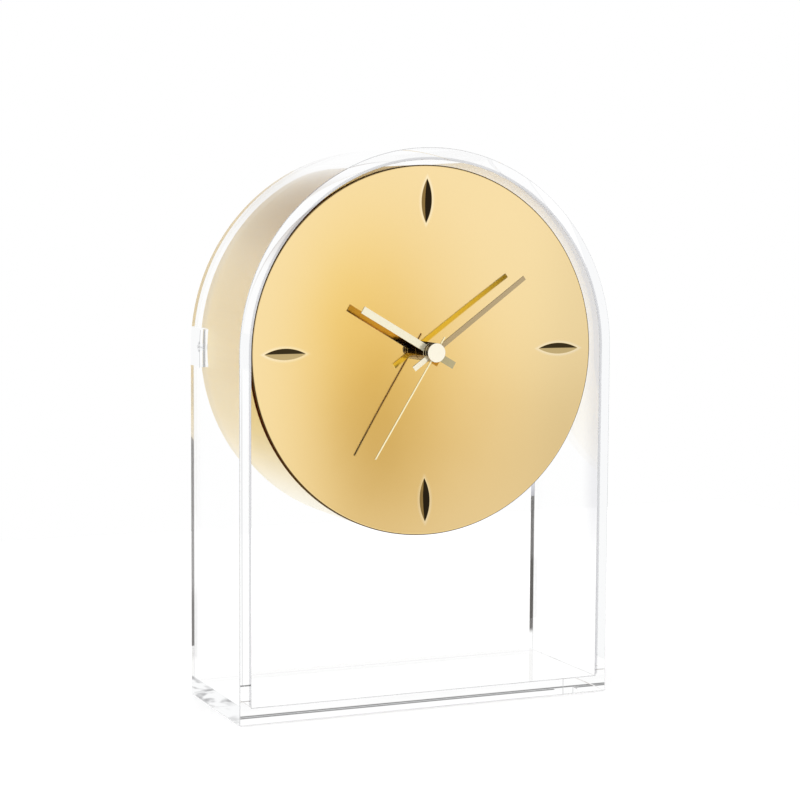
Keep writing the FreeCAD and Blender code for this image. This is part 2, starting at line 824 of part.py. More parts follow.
def movement_case():
    """Return the movement's box: a gear chamber closed behind and a battery bay open behind."""
    half = movement_half
    box = block((-half, half), (lid_back, movement_back), (axis_z - half, axis_z + half))
    chamber_y = (lid_back - overrun, movement_back_inner)
    chamber = block((-chamber_half, chamber_half), chamber_y, (chamber_bottom, chamber_top))
    bay_y = (lid_back - overrun, movement_back + overrun)
    bay = block((-chamber_half, chamber_half), bay_y, (bay_bottom, bay_top))
    knob_hole_radius = knob_stem_radius + running_clearance
    cutters = [
        chamber,
        bay,
        rod(knob_hole_radius, movement_back_inner - overrun, movement_back + overrun, knob_place),
        pivot_hole(centre_line, movement_back_inner, "rear"),
        pivot_hole(fifth_place, movement_back_inner, "rear"),
        pivot_hole(rotor_place, movement_back_inner, "rear"),
    ]
    for cutter in cutters:
        box = box.cut(cutter)
    return box


def mounting_nut():
    """Return the six-sided nut that clamps the movement to the bulkhead."""
    corner_radius = nut_width / 2 / math.cos(math.radians(30))
    start = bulkhead_front - nut_height
    corners = [point(stepped(centre_line, corner_radius, 60 * index), start) for index in range(6)]
    body = Part.Face(Part.makePolygon(corners + corners[:1])).extrude(FORWARD * nut_height)
    return body.cut(rod(bushing_radius + press_clearance, start - overrun, bulkhead_front + overrun))


def mounting_washer():
    """Return the soft washer between the bulkhead and the movement."""
    return tube(washer_radius, bushing_radius + washer_clearance, bulkhead_back, lid_front)


# The motor and the electrical parts

coil_z = axis_z + coil_rise
stator_left = rotor_place[0] - stator_left_reach
stator_right = rotor_place[0] + stator_right_reach
stator_y = (magnet_layer - stator_thickness / 2, magnet_layer + stator_thickness / 2)
core_top = coil_z + core_height / 2
bobbin_left = stator_left + stator_arm_width + bobbin_end_gap
bobbin_right = stator_right - stator_arm_width - bobbin_end_gap


def rod_sideways(radius, left, right, y, z):
    """Return a round rod along X."""
    return Part.makeCylinder(radius, right - left, Vector(left, y, z), SIDEWAYS)


def stator():
    """Return the stator: a ring around the magnet, two arms, and the core bar through the coil."""
    rotor_z = axis_z + rotor_place[1]
    left_bottom = rotor_z - stator_bridge_drop
    right_bottom = rotor_z + stator_bridge_rise
    left_arm_edge = stator_left + stator_arm_width
    right_arm_edge = stator_right - stator_arm_width
    ring_left = rotor_place[0] - stator_hole_radius
    ring_right = rotor_place[0] + stator_hole_radius
    parts = [
        rod(stator_disc_radius, stator_y[0], stator_y[1], rotor_place),
        block((stator_left, left_arm_edge), stator_y, (left_bottom, core_top)),
        block((stator_left, ring_left), stator_y, (left_bottom, left_bottom + stator_arm_width)),
        block((right_arm_edge, stator_right), stator_y, (right_bottom, core_top)),
        block((ring_right, stator_right), stator_y, (right_bottom, right_bottom + stator_arm_width)),
        block((stator_left, stator_right), stator_y, (coil_z - core_height / 2, core_top)),
    ]
    hole = rod(stator_hole_radius, stator_y[0] - overrun, stator_y[1] + overrun, rotor_place)
    return fused(parts).cut(hole)


def coil_bobbin():
    """Return the flanged bobbin with a rectangular hole for the stator's core."""
    body = rod_sideways(bobbin_radius, bobbin_left, bobbin_right, magnet_layer, coil_z)
    ends = []
    for left in (bobbin_left, bobbin_right - bobbin_flange_thickness):
        right = left + bobbin_flange_thickness
        ends.append(rod_sideways(bobbin_flange_radius, left, right, magnet_layer, coil_z))
    half_depth = stator_thickness / 2 + core_clearance
    half_height = core_height / 2 + core_clearance
    hole = block(
        (bobbin_left - overrun, bobbin_right + overrun),
        (magnet_layer - half_depth, magnet_layer + half_depth),
        (coil_z - half_height, coil_z + half_height),
    )
    return fused([body] + ends).cut(hole)


def coil_winding():
    """Return the copper winding between the bobbin's flanges."""
    left = bobbin_left + bobbin_flange_thickness
    right = bobbin_right - bobbin_flange_thickness
    outside = rod_sideways(winding_radius, left, right, magnet_layer, coil_z)
    hole_radius = bobbin_radius + press_clearance
    return outside.cut(rod_sideways(hole_radius, left - overrun, right + overrun, magnet_layer, coil_z))


board_bottom = axis_z - board_drop
board_front = movement_back_inner - board_thickness
board_middle = board_left + board_width / 2


def circuit_board():
    """Return the circuit board on the movement's back wall."""
    return block(
        (board_left, board_left + board_width),
        (board_front, movement_back_inner),
        (board_bottom, board_bottom + board_height),
    )


def clock_chip():
    """Return the round sealed chip on the board."""
    place = (board_middle, board_bottom + chip_rise - axis_z)
    front_face = board_front - chip_height
    drop = rod(chip_radius, front_face, board_front, place)
    rim = [edge for edge in drop.Edges if edge.Closed and edge.CenterOfMass.y < front_face + chip_height / 2]
    return drop.makeFillet(chip_height / 2, rim)


def quartz_crystal():
    """Return the crystal's round can, lying on the board."""
    y = board_front - crystal_radius - crystal_clearance
    start = Vector(board_middle, y, board_bottom + crystal_rise)
    return Part.makeCylinder(crystal_radius, crystal_length, start, UPWARD)


def battery():
    """Return the round cell with its nub to the right."""
    nub_left = battery_right - battery_nub_length
    shoulder = nub_left - battery_shoulder
    radius = battery_diameter / 2
    can = rod_sideways(radius, battery_left, shoulder, battery_y, battery_z)
    cap_base = Vector(shoulder, battery_y, battery_z)
    cap = Part.makeCone(radius, radius - battery_shoulder, battery_shoulder, cap_base, SIDEWAYS)
    nub = rod_sideways(battery_nub_radius, shoulder, battery_right, battery_y, battery_z)
    return fused([can, cap, nub])


def positive_contact():
    """Return the flat contact at the cell's nub."""
    return block(
        (chamber_half - contact_thickness, chamber_half),
        (battery_y - contact_width / 2, battery_y + contact_width / 2),
        (battery_z - contact_height / 2, battery_z + contact_height / 2),
    )


def negative_contact():
    """Return the contact at the cell's flat end: a plate with a bowed leaf spring."""
    wall_x = -chamber_half
    face_x = wall_x + contact_thickness
    plate = block(
        (wall_x, face_x),
        (battery_y - contact_width / 2, battery_y + contact_width / 2),
        (battery_z - contact_height / 2, battery_z + contact_height / 2),
    )
    low = battery_y - contact_width / 2
    high = battery_y + contact_width / 2
    z = battery_z - contact_spring_width / 2
    crown_x = battery_left - battery_end_gap
    outer = Part.Arc(Vector(face_x, low, z), Vector(crown_x, battery_y, z), Vector(face_x, high, z)).toShape()
    inner_low = Vector(face_x, low + 2 * contact_thickness, z)
    inner_high = Vector(face_x, high - 2 * contact_thickness, z)
    inner = Part.Arc(inner_low, Vector(crown_x - contact_thickness, battery_y, z), inner_high).toShape()
    feet = [
        Part.LineSegment(Vector(face_x, low, z), inner_low).toShape(),
        Part.LineSegment(inner_high, Vector(face_x, high, z)).toShape(),
    ]
    section = Part.Face(Part.Wire(Part.__sortEdges__([outer, inner] + feet)))
    return fused([plate, section.extrude(UPWARD * contact_spring_width)])


nodes = {
    "clear_case": clear_case(),
    "lug_screws": lug_screws(),
    "drum_shell": drum_shell(),
    "rear_cover": rear_cover(),
    "dial": dial(),
    "hour_hand": hour_hand(),
    "hour_boss": tube(hub_radius, hour_bore, hour_back, hour_boss_back),
    "minute_hand": minute_hand(),
    "minute_boss": tube(hub_radius, minute_bore, minute_back, minute_boss_back),
    "seconds_hand": seconds_hand(),
    "seconds_boss": tube(hub_radius, seconds_bore, needle_back, seconds_boss_back),
    "hub_cap": hub_cap(),
    "movement_lid": movement_lid(),
    "movement_case": movement_case(),
    "train_plate": train_plate(),
    "mounting_nut": mounting_nut(),
    "mounting_washer": mounting_washer(),
    "seconds_wheel": seconds_wheel(),
    "fifth_wheel": fifth_wheel(),
    "rotor": rotor(),
    "rotor_magnet": rotor_magnet(),
    "third_wheel": third_wheel(),
    "centre_wheel": centre_wheel(),
    "minute_arbor": minute_arbor(),
    "hour_wheel": hour_wheel(),
    "motion_wheel": motion_wheel(),
    "setting_knob": setting_knob(),
    "stator": stator(),
    "coil_bobbin": coil_bobbin(),
    "coil_winding": coil_winding(),
    "circuit_board": circuit_board(),
    "clock_chip": clock_chip(),
    "quartz_crystal": quartz_crystal(),
    "battery": battery(),
    "positive_contact": positive_contact(),
    "negative_contact": negative_contact(),
}

os.makedirs("parts", exist_ok=True)
for name, shape in nodes.items():
    shape.exportStep(os.path.join("parts", name + ".step"))
    box = shape.BoundBox
    print(
        f"{name}: {len(shape.Solids)} solid(s), valid {shape.isValid()}, volume {shape.Volume:.1f},"
        f" x {box.XMin:.2f} {box.XMax:.2f}, y {box.YMin:.2f} {box.YMax:.2f}, z {box.ZMin:.2f} {box.ZMax:.2f}"
    )
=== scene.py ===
import math

import bmesh
import bpy
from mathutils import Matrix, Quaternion, Vector


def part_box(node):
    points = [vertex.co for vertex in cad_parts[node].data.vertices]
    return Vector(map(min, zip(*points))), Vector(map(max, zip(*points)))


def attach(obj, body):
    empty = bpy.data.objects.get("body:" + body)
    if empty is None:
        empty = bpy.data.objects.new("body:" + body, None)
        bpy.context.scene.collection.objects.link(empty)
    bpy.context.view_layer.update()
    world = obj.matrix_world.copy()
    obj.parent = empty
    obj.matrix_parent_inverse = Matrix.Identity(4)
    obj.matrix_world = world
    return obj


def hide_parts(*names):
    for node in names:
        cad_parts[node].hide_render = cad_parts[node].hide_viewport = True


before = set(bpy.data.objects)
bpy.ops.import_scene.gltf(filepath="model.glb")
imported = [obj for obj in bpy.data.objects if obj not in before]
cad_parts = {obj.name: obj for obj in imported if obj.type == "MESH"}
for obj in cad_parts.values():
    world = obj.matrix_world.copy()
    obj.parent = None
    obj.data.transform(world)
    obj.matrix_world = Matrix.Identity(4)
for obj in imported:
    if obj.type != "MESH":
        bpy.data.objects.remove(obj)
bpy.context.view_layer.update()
bpy.ops.object.select_all(action="DESELECT")

# Lengths are in metres. +X is to the right of the dial, +Y is to the back and +Z is up.
MM = 0.001
AXIS_Z = 192 * MM
FULL_TURN = 2 * math.pi
OVERCUT = 1.0 * MM

# Clear case
CASE_FRONT = -40 * MM
CASE_BACK = 40 * MM
CASE_HALF_WIDTH = 108 * MM
CASE_WALL = 6.5 * MM
SLAB_HEIGHT = 9 * MM
INNER_RADIUS = CASE_HALF_WIDTH - CASE_WALL
ARCH_STEPS = 128
CASE_EDGE = 0.3 * MM

# Lugs and their screws
LUG_INNER_X = 88.5 * MM
LUG_FRONT = 24.4 * MM
LUG_BACK = 39.4 * MM
LUG_HEIGHT = 20 * MM
LUG_EDGE = 1.5 * MM
LUG_CLEARANCE = 0.3 * MM
SCREW_X = 93.5 * MM
SCREW_HOLE = 1.7 * MM
SCREW_RECESS = 3.0 * MM
SCREW_RECESS_DEPTH = 2.0 * MM

# Drum
DRUM_RADIUS = 99.0 * MM
DRUM_WALL = 2.6 * MM
DRUM_BACK = 36.4 * MM
DRUM_FRONT_EDGE = 0.25 * MM
DRUM_BACK_EDGE = 0.8 * MM
DRUM_INNER = DRUM_RADIUS - DRUM_WALL
SPIGOT_FIT = 0.1 * MM
SEAM = 0.15 * MM
BULKHEAD_FRONT = -25.0 * MM
BULKHEAD_BACK = -22.8 * MM
BUSHING_HOLE = 4.05 * MM
SEAT_LENGTH = 11 * MM
SEAT_HALF_HEIGHT = 6 * MM
SEAT_REACH = 4.5 * MM
PILOT_RADIUS = 1.52 * MM
PILOT_LENGTH = 20 * MM
ROUND_STEPS = 256

# Dial
DIAL_RIM_Y = -33.0 * MM
DIAL_DISH = 3.2 * MM
DIAL_THICKNESS = 2.0 * MM
DIAL_EDGE = 0.8 * MM
DIAL_SKIRT_END = -29.0 * MM
DIAL_SKIRT_WALL = 1.2 * MM
DIAL_HOLE = 3.2 * MM
RIM_BAND = 0.1 * MM
DISH_EDGE = DRUM_RADIUS - DIAL_EDGE
DISH_SPHERE = (DISH_EDGE ** 2 + DIAL_DISH ** 2) / (2 * DIAL_DISH)

# Hour marks
MARK_LENGTH = 24 * MM
MARK_WIDTH = 6.2 * MM
MARK_DEPTH = 1.35 * MM
MARK_RADIUS = 80 * MM
MARK_ARC = ((MARK_LENGTH / 2) ** 2 + (MARK_WIDTH / 2) ** 2) / MARK_WIDTH
MARK_STEPS = 480

# Rear cover
COVER_THICKNESS = 2.0 * MM
COVER_CLEARANCE = 0.25 * MM
COVER_EDGE = 0.5 * MM
COVER_LEDGE = 2.0 * MM
LIP_LENGTH = 2.0 * MM
LIP_WALL = 1.4 * MM
NOTCH_RADIUS = 9.0 * MM
NOTCH_EDGE = 0.2 * MM

# Hands and hub. Hands turn clockwise from the top, in degrees.
HUB_RADIUS = 5.1 * MM
HUB_EDGE = 0.08 * MM
HUB_STEPS = 128
HUB_GAP = 0.4 * MM
HUB_DIAL_GAP = 0.5 * MM
HAND_EDGE = 0.07 * MM
HAND_THICKNESS = 0.6 * MM
NEEDLE_THICKNESS = 0.4 * MM
EYE_INSET = 0.02 * MM
HOUR_FRONT = -40.2 * MM
HOUR_BORE = 2.5 * MM
HOUR_ANGLE = 300
MINUTE_FRONT = -43.1 * MM
MINUTE_BORE = 1.5 * MM
MINUTE_ANGLE = 53.6
SECONDS_FRONT = -45.2 * MM
SECONDS_BORE = 0.52 * MM
SECONDS_ANGLE = 211.9
CAP_FRONT = -46.0 * MM
CAP_EDGE = 0.12 * MM

# Modelling steps

def make_active(piece):
    """Select one piece alone."""
    bpy.ops.object.select_all(action="DESELECT")
    piece.select_set(True)
    bpy.context.view_layer.objects.active = piece


def start_shaping(piece):
    """Open a piece for shaping, with nothing picked."""
    make_active(piece)
    bpy.ops.object.mode_set(mode="EDIT")
    bpy.ops.mesh.select_mode(type="VERT")
    bpy.ops.mesh.select_all(action="DESELECT")


def stop_shaping():
    bpy.ops.object.mode_set(mode="OBJECT")


def settle(piece, name=None):
    """Put a piece's place into its mesh, and name it."""
    make_active(piece)
    bpy.ops.object.transform_apply(location=True, rotation=True, scale=True)
    if name:
        piece.name = name
        piece.data.name = name
    return piece


def pick_points(piece, test):
    """Pick the points whose place passes a test."""
    bpy.ops.mesh.select_mode(type="VERT")
    bpy.ops.mesh.select_all(action="DESELECT")
    mesh = bmesh.from_edit_mesh(piece.data)
    for point in mesh.verts:
        if test(point.co):
            point.select_set(True)
    mesh.select_flush(True)
    bmesh.update_edit_mesh(piece.data)


def pick_faces(piece, test):
    """Pick the faces whose middle and normal pass a test."""
    bpy.ops.mesh.select_mode(type="FACE")
    bpy.ops.mesh.select_all(action="DESELECT")
    mesh = bmesh.from_edit_mesh(piece.data)
    mesh.normal_update()
    for face in mesh.faces:
        if test(face.calc_center_median(), face.normal):
            face.select_set(True)
    bmesh.update_edit_mesh(piece.data)


def pick_sharp_edges(piece, degrees, test=None):
    """Pick the edges that turn by more than an angle, and whose middle passes a test."""
    bpy.ops.mesh.select_mode(type="EDGE")
    bpy.ops.mesh.select_all(action="DESELECT")
    mesh = bmesh.from_edit_mesh(piece.data)
    mesh.normal_update()
    limit = math.radians(degrees)
    for edge in mesh.edges:
        if len(edge.link_faces) == 2 and edge.calc_face_angle() > limit:
            middle = (edge.verts[0].co + edge.verts[1].co) / 2
            if test is None or test(middle, edge):
                edge.select_set(True)
    bmesh.update_edit_mesh(piece.data)


def face_outwards(piece):
    """Merge doubled points and turn every face outwards."""
    start_shaping(piece)
    bpy.ops.mesh.select_all(action="SELECT")
    bpy.ops.mesh.remove_doubles(threshold=0.0005 * MM)
    bpy.ops.mesh.normals_make_consistent(inside=False)
    stop_shaping()


def carve(piece, tool, operation):
    """Cut a tool from a piece, or join it, and drop the tool."""
    make_active(piece)
    step = piece.modifiers.new(operation.lower(), "BOOLEAN")
    step.operation = operation
    step.solver = "EXACT"
    step.object = tool
    bpy.ops.object.modifier_apply(modifier=step.name)
    bpy.data.objects.remove(tool)
    return piece


def smooth(piece, degrees):
    make_active(piece)
    bpy.ops.object.shade_smooth_by_angle(angle=math.radians(degrees))


def round_edges(piece, width, steps=2, degrees=30, test=None):
    """Round a piece's sharp edges."""
    start_shaping(piece)
    pick_sharp_edges(piece, degrees, test)
    bpy.ops.mesh.bevel(offset=width, segments=steps, affect="EDGES", clamp_overlap=True)
    stop_shaping()


def block(name, low, high):
    """Start a piece from a box between two corners."""
    low, high = Vector(low), Vector(high)
    bpy.ops.mesh.primitive_cube_add(size=1, location=(low + high) / 2)
    piece = bpy.context.object
    piece.scale = high - low
    return settle(piece, name)


def rod(name, radius, start, end, place=(0, 0), steps=64):
    """Start a piece from a cylinder that lies along Y, beside the dial's centre by a place."""
    at = (place[0], (start + end) / 2, AXIS_Z + place[1])
    bpy.ops.mesh.primitive_cylinder_add(
        vertices=steps, radius=radius, depth=end - start, location=at, rotation=(math.pi / 2, 0, 0))
    return settle(bpy.context.object, name)


def turned(name, outline, steps=ROUND_STEPS):
    """Turn a round piece about the dial's centre line, from its outline as (radius, depth) pairs."""
    radius, depth = outline[0]
    bpy.ops.mesh.primitive_circle_add(
        vertices=steps, radius=radius, location=(0, depth, AXIS_Z), rotation=(math.pi / 2, 0, 0))
    piece = settle(bpy.context.object, name)
    closed = outline[0] == outline[-1]
    start_shaping(piece)
    bpy.ops.mesh.select_all(action="SELECT")
    if not closed:
        bpy.ops.mesh.edge_face_add()
    for next_radius, next_depth in outline[1:]:
        bpy.ops.mesh.extrude_region_move(
            TRANSFORM_OT_translate={"value": (0, next_depth - depth, 0), "orient_type": "GLOBAL"})
        share = next_radius / radius
        bpy.ops.transform.resize(
            value=(share, 1, share), orient_type="GLOBAL", center_override=(0, next_depth, AXIS_Z))
        radius, depth = next_radius, next_depth
    stop_shaping()
    face_outwards(piece)
    return piece


def mirrored_sideways(piece, name):
    """Copy a piece to the other side of the clock."""
    make_active(piece)
    bpy.ops.object.duplicate()
    copy = bpy.context.object
    copy.scale = (-1, 1, 1)
    settle(copy, name)
    face_outwards(copy)
    return copy


def turned_copy(piece, degrees, name):
    """Copy a piece round the dial's centre, clockwise."""
    make_active(piece)
    bpy.ops.object.duplicate()
    copy = bpy.context.object
    copy.name = name
    start_shaping(copy)
    bpy.ops.mesh.select_all(action="SELECT")
    turn_about_centre(-degrees)
    stop_shaping()
    return copy


def turn_about_centre(degrees):
    """Turn what is picked about the dial's centre; with no window the turn goes the other way."""
    bpy.ops.transform.rotate(
        value=math.radians(degrees), orient_axis="Y", orient_type="GLOBAL", center_override=(0, 0, AXIS_Z))


# Clear case

def clear_lug():
    """Model the right-hand lug with its rounded edges and counterbored screw hole."""
    low = (LUG_INNER_X, LUG_FRONT, AXIS_Z - LUG_HEIGHT / 2)
    high = (INNER_RADIUS + CASE_WALL / 2, LUG_BACK, AXIS_Z + LUG_HEIGHT / 2)
    lug = block("clear_lug", low, high)

    def inner_upright(middle, edge):
        upright = abs(edge.verts[0].co.z - edge.verts[1].co.z) > LUG_HEIGHT / 2
        return upright and middle.x < LUG_INNER_X + LUG_EDGE

    round_edges(lug, LUG_EDGE, 6, 30, inner_upright)
    round_edges(lug, CASE_EDGE, 2, 30)
    centre = (SCREW_X, 0)
    hole = rod("screw_hole", SCREW_HOLE, LUG_FRONT - OVERCUT, LUG_BACK + OVERCUT, centre)
    recess = rod("screw_recess", SCREW_RECESS, LUG_BACK - SCREW_RECESS_DEPTH, LUG_BACK + OVERCUT, centre)
    return carve(carve(lug, hole, "DIFFERENCE"), recess, "DIFFERENCE")


def case_moulding():
    """Model the clear arch with its base slab and two lugs."""
    wall_middle = (INNER_RADIUS + CASE_HALF_WIDTH) / 2
    bpy.ops.mesh.primitive_plane_add(size=1, location=(wall_middle, 0, AXIS_Z))
    case = bpy.context.object
    case.scale = (CASE_WALL, CASE_BACK - CASE_FRONT, 1)
    settle(case, "case_moulding")
    start_shaping(case)
    bpy.ops.mesh.select_all(action="SELECT")
    bpy.ops.mesh.spin(steps=ARCH_STEPS, angle=math.pi, center=(0, 0, AXIS_Z), axis=(0, 1, 0))
    pick_faces(case, lambda middle, normal: abs(middle.z - AXIS_Z) < CASE_EDGE / 3 and abs(normal.z) > 0.99)
    for reach in (AXIS_Z - SLAB_HEIGHT, SLAB_HEIGHT):
        bpy.ops.mesh.extrude_region_move(
            TRANSFORM_OT_translate={"value": (0, 0, -reach), "orient_type": "GLOBAL"})

    def slab_end(middle, normal):
        on_inner_wall = abs(abs(middle.x) - INNER_RADIUS) < CASE_EDGE / 3
        return middle.z < SLAB_HEIGHT and on_inner_wall and abs(normal.x) > 0.9

    pick_faces(case, slab_end)
    bpy.ops.mesh.bridge_edge_loops()
    stop_shaping()
    face_outwards(case)
    round_edges(case, CASE_EDGE, 2, 40)
    lug = clear_lug()
    other_lug = mirrored_sideways(lug, "clear_lug_left")
    carve(case, lug, "UNION")
    carve(case, other_lug, "UNION")
    smooth(case, 20)
    return case


# Drum, dial and rear cover

def dish_y(radius, offset=0.0):
    """Return the depth of the dish at a radius, on its front face or offset behind it."""
    return DIAL_RIM_Y + DIAL_DISH - DISH_SPHERE + math.sqrt((DISH_SPHERE + offset) ** 2 - radius ** 2)


def spaced(start, end, count):
    """Return evenly spaced values, both ends included."""
    return [start + (end - start) * index / count for index in range(count + 1)]


def mark_cutter():
    """Model the tool of the mark at the top: two slanted round bars that share a pointed lens."""
    half = MARK_WIDTH / 2
    surface = Vector((0, dish_y(MARK_RADIUS), AXIS_Z + MARK_RADIUS))
    halves = []
    for side in (-1, 1):
        slant = Vector((-side * half, MARK_DEPTH, 0))
        start = surface + Vector((side * (half - MARK_ARC), 0, 0)) - slant
        bpy.ops.mesh.primitive_circle_add(
            vertices=MARK_STEPS, radius=MARK_ARC, fill_type="NGON", location=start,
            rotation=(math.pi / 2, 0, 0))
        bar = settle(bpy.context.object, "mark_bar")
        start_shaping(bar)
        bpy.ops.mesh.select_all(action="SELECT")
        bpy.ops.mesh.extrude_region_move(
            TRANSFORM_OT_translate={"value": slant * 3, "orient_type": "GLOBAL"})
        stop_shaping()
        face_outwards(bar)
        halves.append(bar)
    tool = carve(halves[0], halves[1], "INTERSECT")
    start_shaping(tool)
    bpy.ops.mesh.select_all(action="SELECT")
    bpy.ops.transform.rotate(
        value=-math.asin(MARK_RADIUS / DISH_SPHERE), orient_axis="X", orient_type="GLOBAL",
        center_override=surface)
    stop_shaping()
    return tool


def dial_dish():
    """Model the dished dial with its rounded edge, skirt and four grooves."""
    skirt_inner = DRUM_RADIUS - DIAL_SKIRT_WALL
    outline = [(radius, dish_y(radius)) for radius in spaced(DIAL_HOLE, DISH_EDGE - RIM_BAND, 40)]
    outline.append((DISH_EDGE, DIAL_RIM_Y))
    for angle in spaced(9, 90, 9):
        turn = math.radians(angle)
        across = DIAL_EDGE * math.sin(turn)
        outline.append((DISH_EDGE + across, DIAL_RIM_Y + DIAL_EDGE * (1 - math.cos(turn))))
    outline += [(DRUM_RADIUS, DIAL_SKIRT_END), (skirt_inner, DIAL_SKIRT_END)]
    outline += [(radius, dish_y(radius, DIAL_THICKNESS)) for radius in spaced(skirt_inner, DIAL_HOLE, 12)]
    outline.append(outline[0])
    dial = turned("dial_dish", outline)
    tool = mark_cutter()
    for index in range(4):
        carve(dial, turned_copy(tool, 90 * index, "mark_tool"), "DIFFERENCE")
    bpy.data.objects.remove(tool)
    smooth(dial, 12)
    return dial


def lug_slot(side, start, end):
    """Model the tool that clears one lug."""
    half = LUG_HEIGHT / 2 + LUG_CLEARANCE
    edges = sorted((side * (LUG_INNER_X - LUG_CLEARANCE), side * (DRUM_RADIUS + OVERCUT)))
    return block("lug_slot", (edges[0], start, AXIS_Z - half), (edges[1], end, AXIS_Z + half))


def screw_seat(side):
    """Model the block behind one lug that takes its screw."""
    back = LUG_FRONT - LUG_CLEARANCE
    reach = sorted((side * (SCREW_X - SEAT_REACH), side * (DRUM_INNER + DRUM_WALL / 2)))
    seat = block(
        "screw_seat", (reach[0], back - SEAT_LENGTH, AXIS_Z - SEAT_HALF_HEIGHT),
        (reach[1], back, AXIS_Z + SEAT_HALF_HEIGHT))
    pilot = rod("pilot_hole", PILOT_RADIUS, back - PILOT_LENGTH, back + OVERCUT, (side * SCREW_X, 0))
    return carve(seat, pilot, "DIFFERENCE")


def drum_body():
    """Model the drum: front spigot, bulkhead, wall, cover ledge, lug slots and screw seats."""
    spigot = DRUM_RADIUS - DIAL_SKIRT_WALL - SPIGOT_FIT
    spigot_front = dish_y(DRUM_INNER, DIAL_THICKNESS) + SPIGOT_FIT
    front = DIAL_SKIRT_END + SEAM
    ledge_back = DRUM_BACK - COVER_THICKNESS
    ledge_front = ledge_back - COVER_LEDGE
    ledge = DRUM_INNER - COVER_LEDGE
    outline = [
        (DRUM_INNER, spigot_front), (spigot, spigot_front), (spigot, front),
        (DRUM_RADIUS - DRUM_FRONT_EDGE, front),
    ]
    wall = spaced(front + DRUM_FRONT_EDGE, DRUM_BACK - DRUM_BACK_EDGE, 6)
    outline += [(DRUM_RADIUS, depth) for depth in wall]
    outline += [
        (DRUM_RADIUS - 0.375 * DRUM_BACK_EDGE, DRUM_BACK - 0.3125 * DRUM_BACK_EDGE),
        (DRUM_RADIUS - DRUM_BACK_EDGE, DRUM_BACK), (DRUM_INNER, DRUM_BACK), (DRUM_INNER, ledge_back),
        (ledge, ledge_back), (ledge, ledge_front), (DRUM_INNER, ledge_front), (DRUM_INNER, BULKHEAD_BACK),
        (BUSHING_HOLE, BULKHEAD_BACK), (BUSHING_HOLE, BULKHEAD_FRONT), (DRUM_INNER, BULKHEAD_FRONT),
        (DRUM_INNER, spigot_front),
    ]
    drum = turned("drum_body", outline)
    for side in (-1, 1):
        carve(drum, lug_slot(side, LUG_FRONT - LUG_CLEARANCE, DRUM_BACK + OVERCUT), "DIFFERENCE")
        carve(drum, screw_seat(side), "UNION")
    smooth(drum, 30)
    return drum


def cover_lid():
    """Model the pull-off rear cover: a disc with a gripping lip, lug slots and a finger notch."""
    radius = DRUM_INNER - COVER_CLEARANCE
    front = DRUM_BACK - COVER_THICKNESS
    lip = radius - COVER_LEDGE
    tool_front = front - LIP_LENGTH - OVERCUT
    outline = [
        (lip - LIP_WALL, front), (lip - LIP_WALL, front - LIP_LENGTH), (lip, front - LIP_LENGTH),
        (lip, front), (radius, front), (radius, DRUM_BACK - COVER_EDGE), (radius - COVER_EDGE, DRUM_BACK),
    ]
    cover = turned("cover_lid", outline)
    for side in (-1, 1):
        carve(cover, lug_slot(side, tool_front, DRUM_BACK + OVERCUT), "DIFFERENCE")
    notch = rod("finger_notch", NOTCH_RADIUS, tool_front, DRUM_BACK + OVERCUT, (0, -radius), 96)
    carve(cover, notch, "DIFFERENCE")
    round_edges(cover, NOTCH_EDGE, 2, 60, lambda middle, edge: middle.y > DRUM_BACK - NOTCH_EDGE / 2)
    smooth(cover, 25)
    return cover


# Hands and hub

def flat_hand(name, length, tail, root_width, tip_width, front, thickness, bore, angle):
    """Model a flat bar hand with a round eye, turned clockwise from the top."""
    bar = block(
        name, (-root_width / 2, front, AXIS_Z - tail), (root_width / 2, front + thickness, AXIS_Z + length))
    start_shaping(bar)
    pick_points(bar, lambda place: place.z > AXIS_Z)
    bpy.ops.transform.resize(
        value=(tip_width / root_width, 1, 1), orient_type="GLOBAL", center_override=(0, front, AXIS_Z))
    stop_shaping()
    carve(bar, rod("eye", HUB_RADIUS - EYE_INSET, front, front + thickness, steps=96), "UNION")
    carve(bar, rod("bore", bore, front - OVERCUT, front + thickness + OVERCUT), "DIFFERENCE")
    round_edges(bar, HAND_EDGE, 2, 40)
    start_shaping(bar)
    bpy.ops.mesh.select_all(action="SELECT")
    turn_about_centre(-angle)
    stop_shaping()
    smooth(bar, 8)
    return bar


def boss(name, front, back, bore):
    """Model a turned collar of the hub."""
    outline = [
        (bore, front), (HUB_RADIUS - HUB_EDGE, front), (HUB_RADIUS, front + HUB_EDGE),
        (HUB_RADIUS, back - HUB_EDGE), (HUB_RADIUS - HUB_EDGE, back), (bore, back), (bore, front),
    ]
    piece = turned(name, outline, HUB_STEPS)
    smooth(piece, 30)
    return piece


def cap_disc():
    """Model the round cap at the front of the hub."""
    back = SECONDS_FRONT
    outline = [
        (HUB_RADIUS - CAP_EDGE, CAP_FRONT), (HUB_RADIUS - CAP_EDGE * 0.3, CAP_FRONT + CAP_EDGE * 0.3),
        (HUB_RADIUS, CAP_FRONT + CAP_EDGE), (HUB_RADIUS, back),
    ]
    cap = turned("cap_disc", outline, HUB_STEPS)
    carve(cap, rod("cap_bore", SECONDS_BORE, (CAP_FRONT + back) / 2, back + OVERCUT), "DIFFERENCE")
    smooth(cap, 15)
    return cap


# Finishes

class Wire:
    """A shader output that takes part in arithmetic."""

    def __init__(self, sheet, socket):
        self.sheet = sheet
        self.socket = socket

    def __add__(self, other):
        return self.sheet.maths("ADD", self, other)

    def __radd__(self, other):
        return self.sheet.maths("ADD", other, self)

    def __sub__(self, other):
        return self.sheet.maths("SUBTRACT", self, other)

    def __rsub__(self, other):
        return self.sheet.maths("SUBTRACT", other, self)

    def __mul__(self, other):
        return self.sheet.maths("MULTIPLY", self, other)

    def __rmul__(self, other):
        return self.sheet.maths("MULTIPLY", other, self)


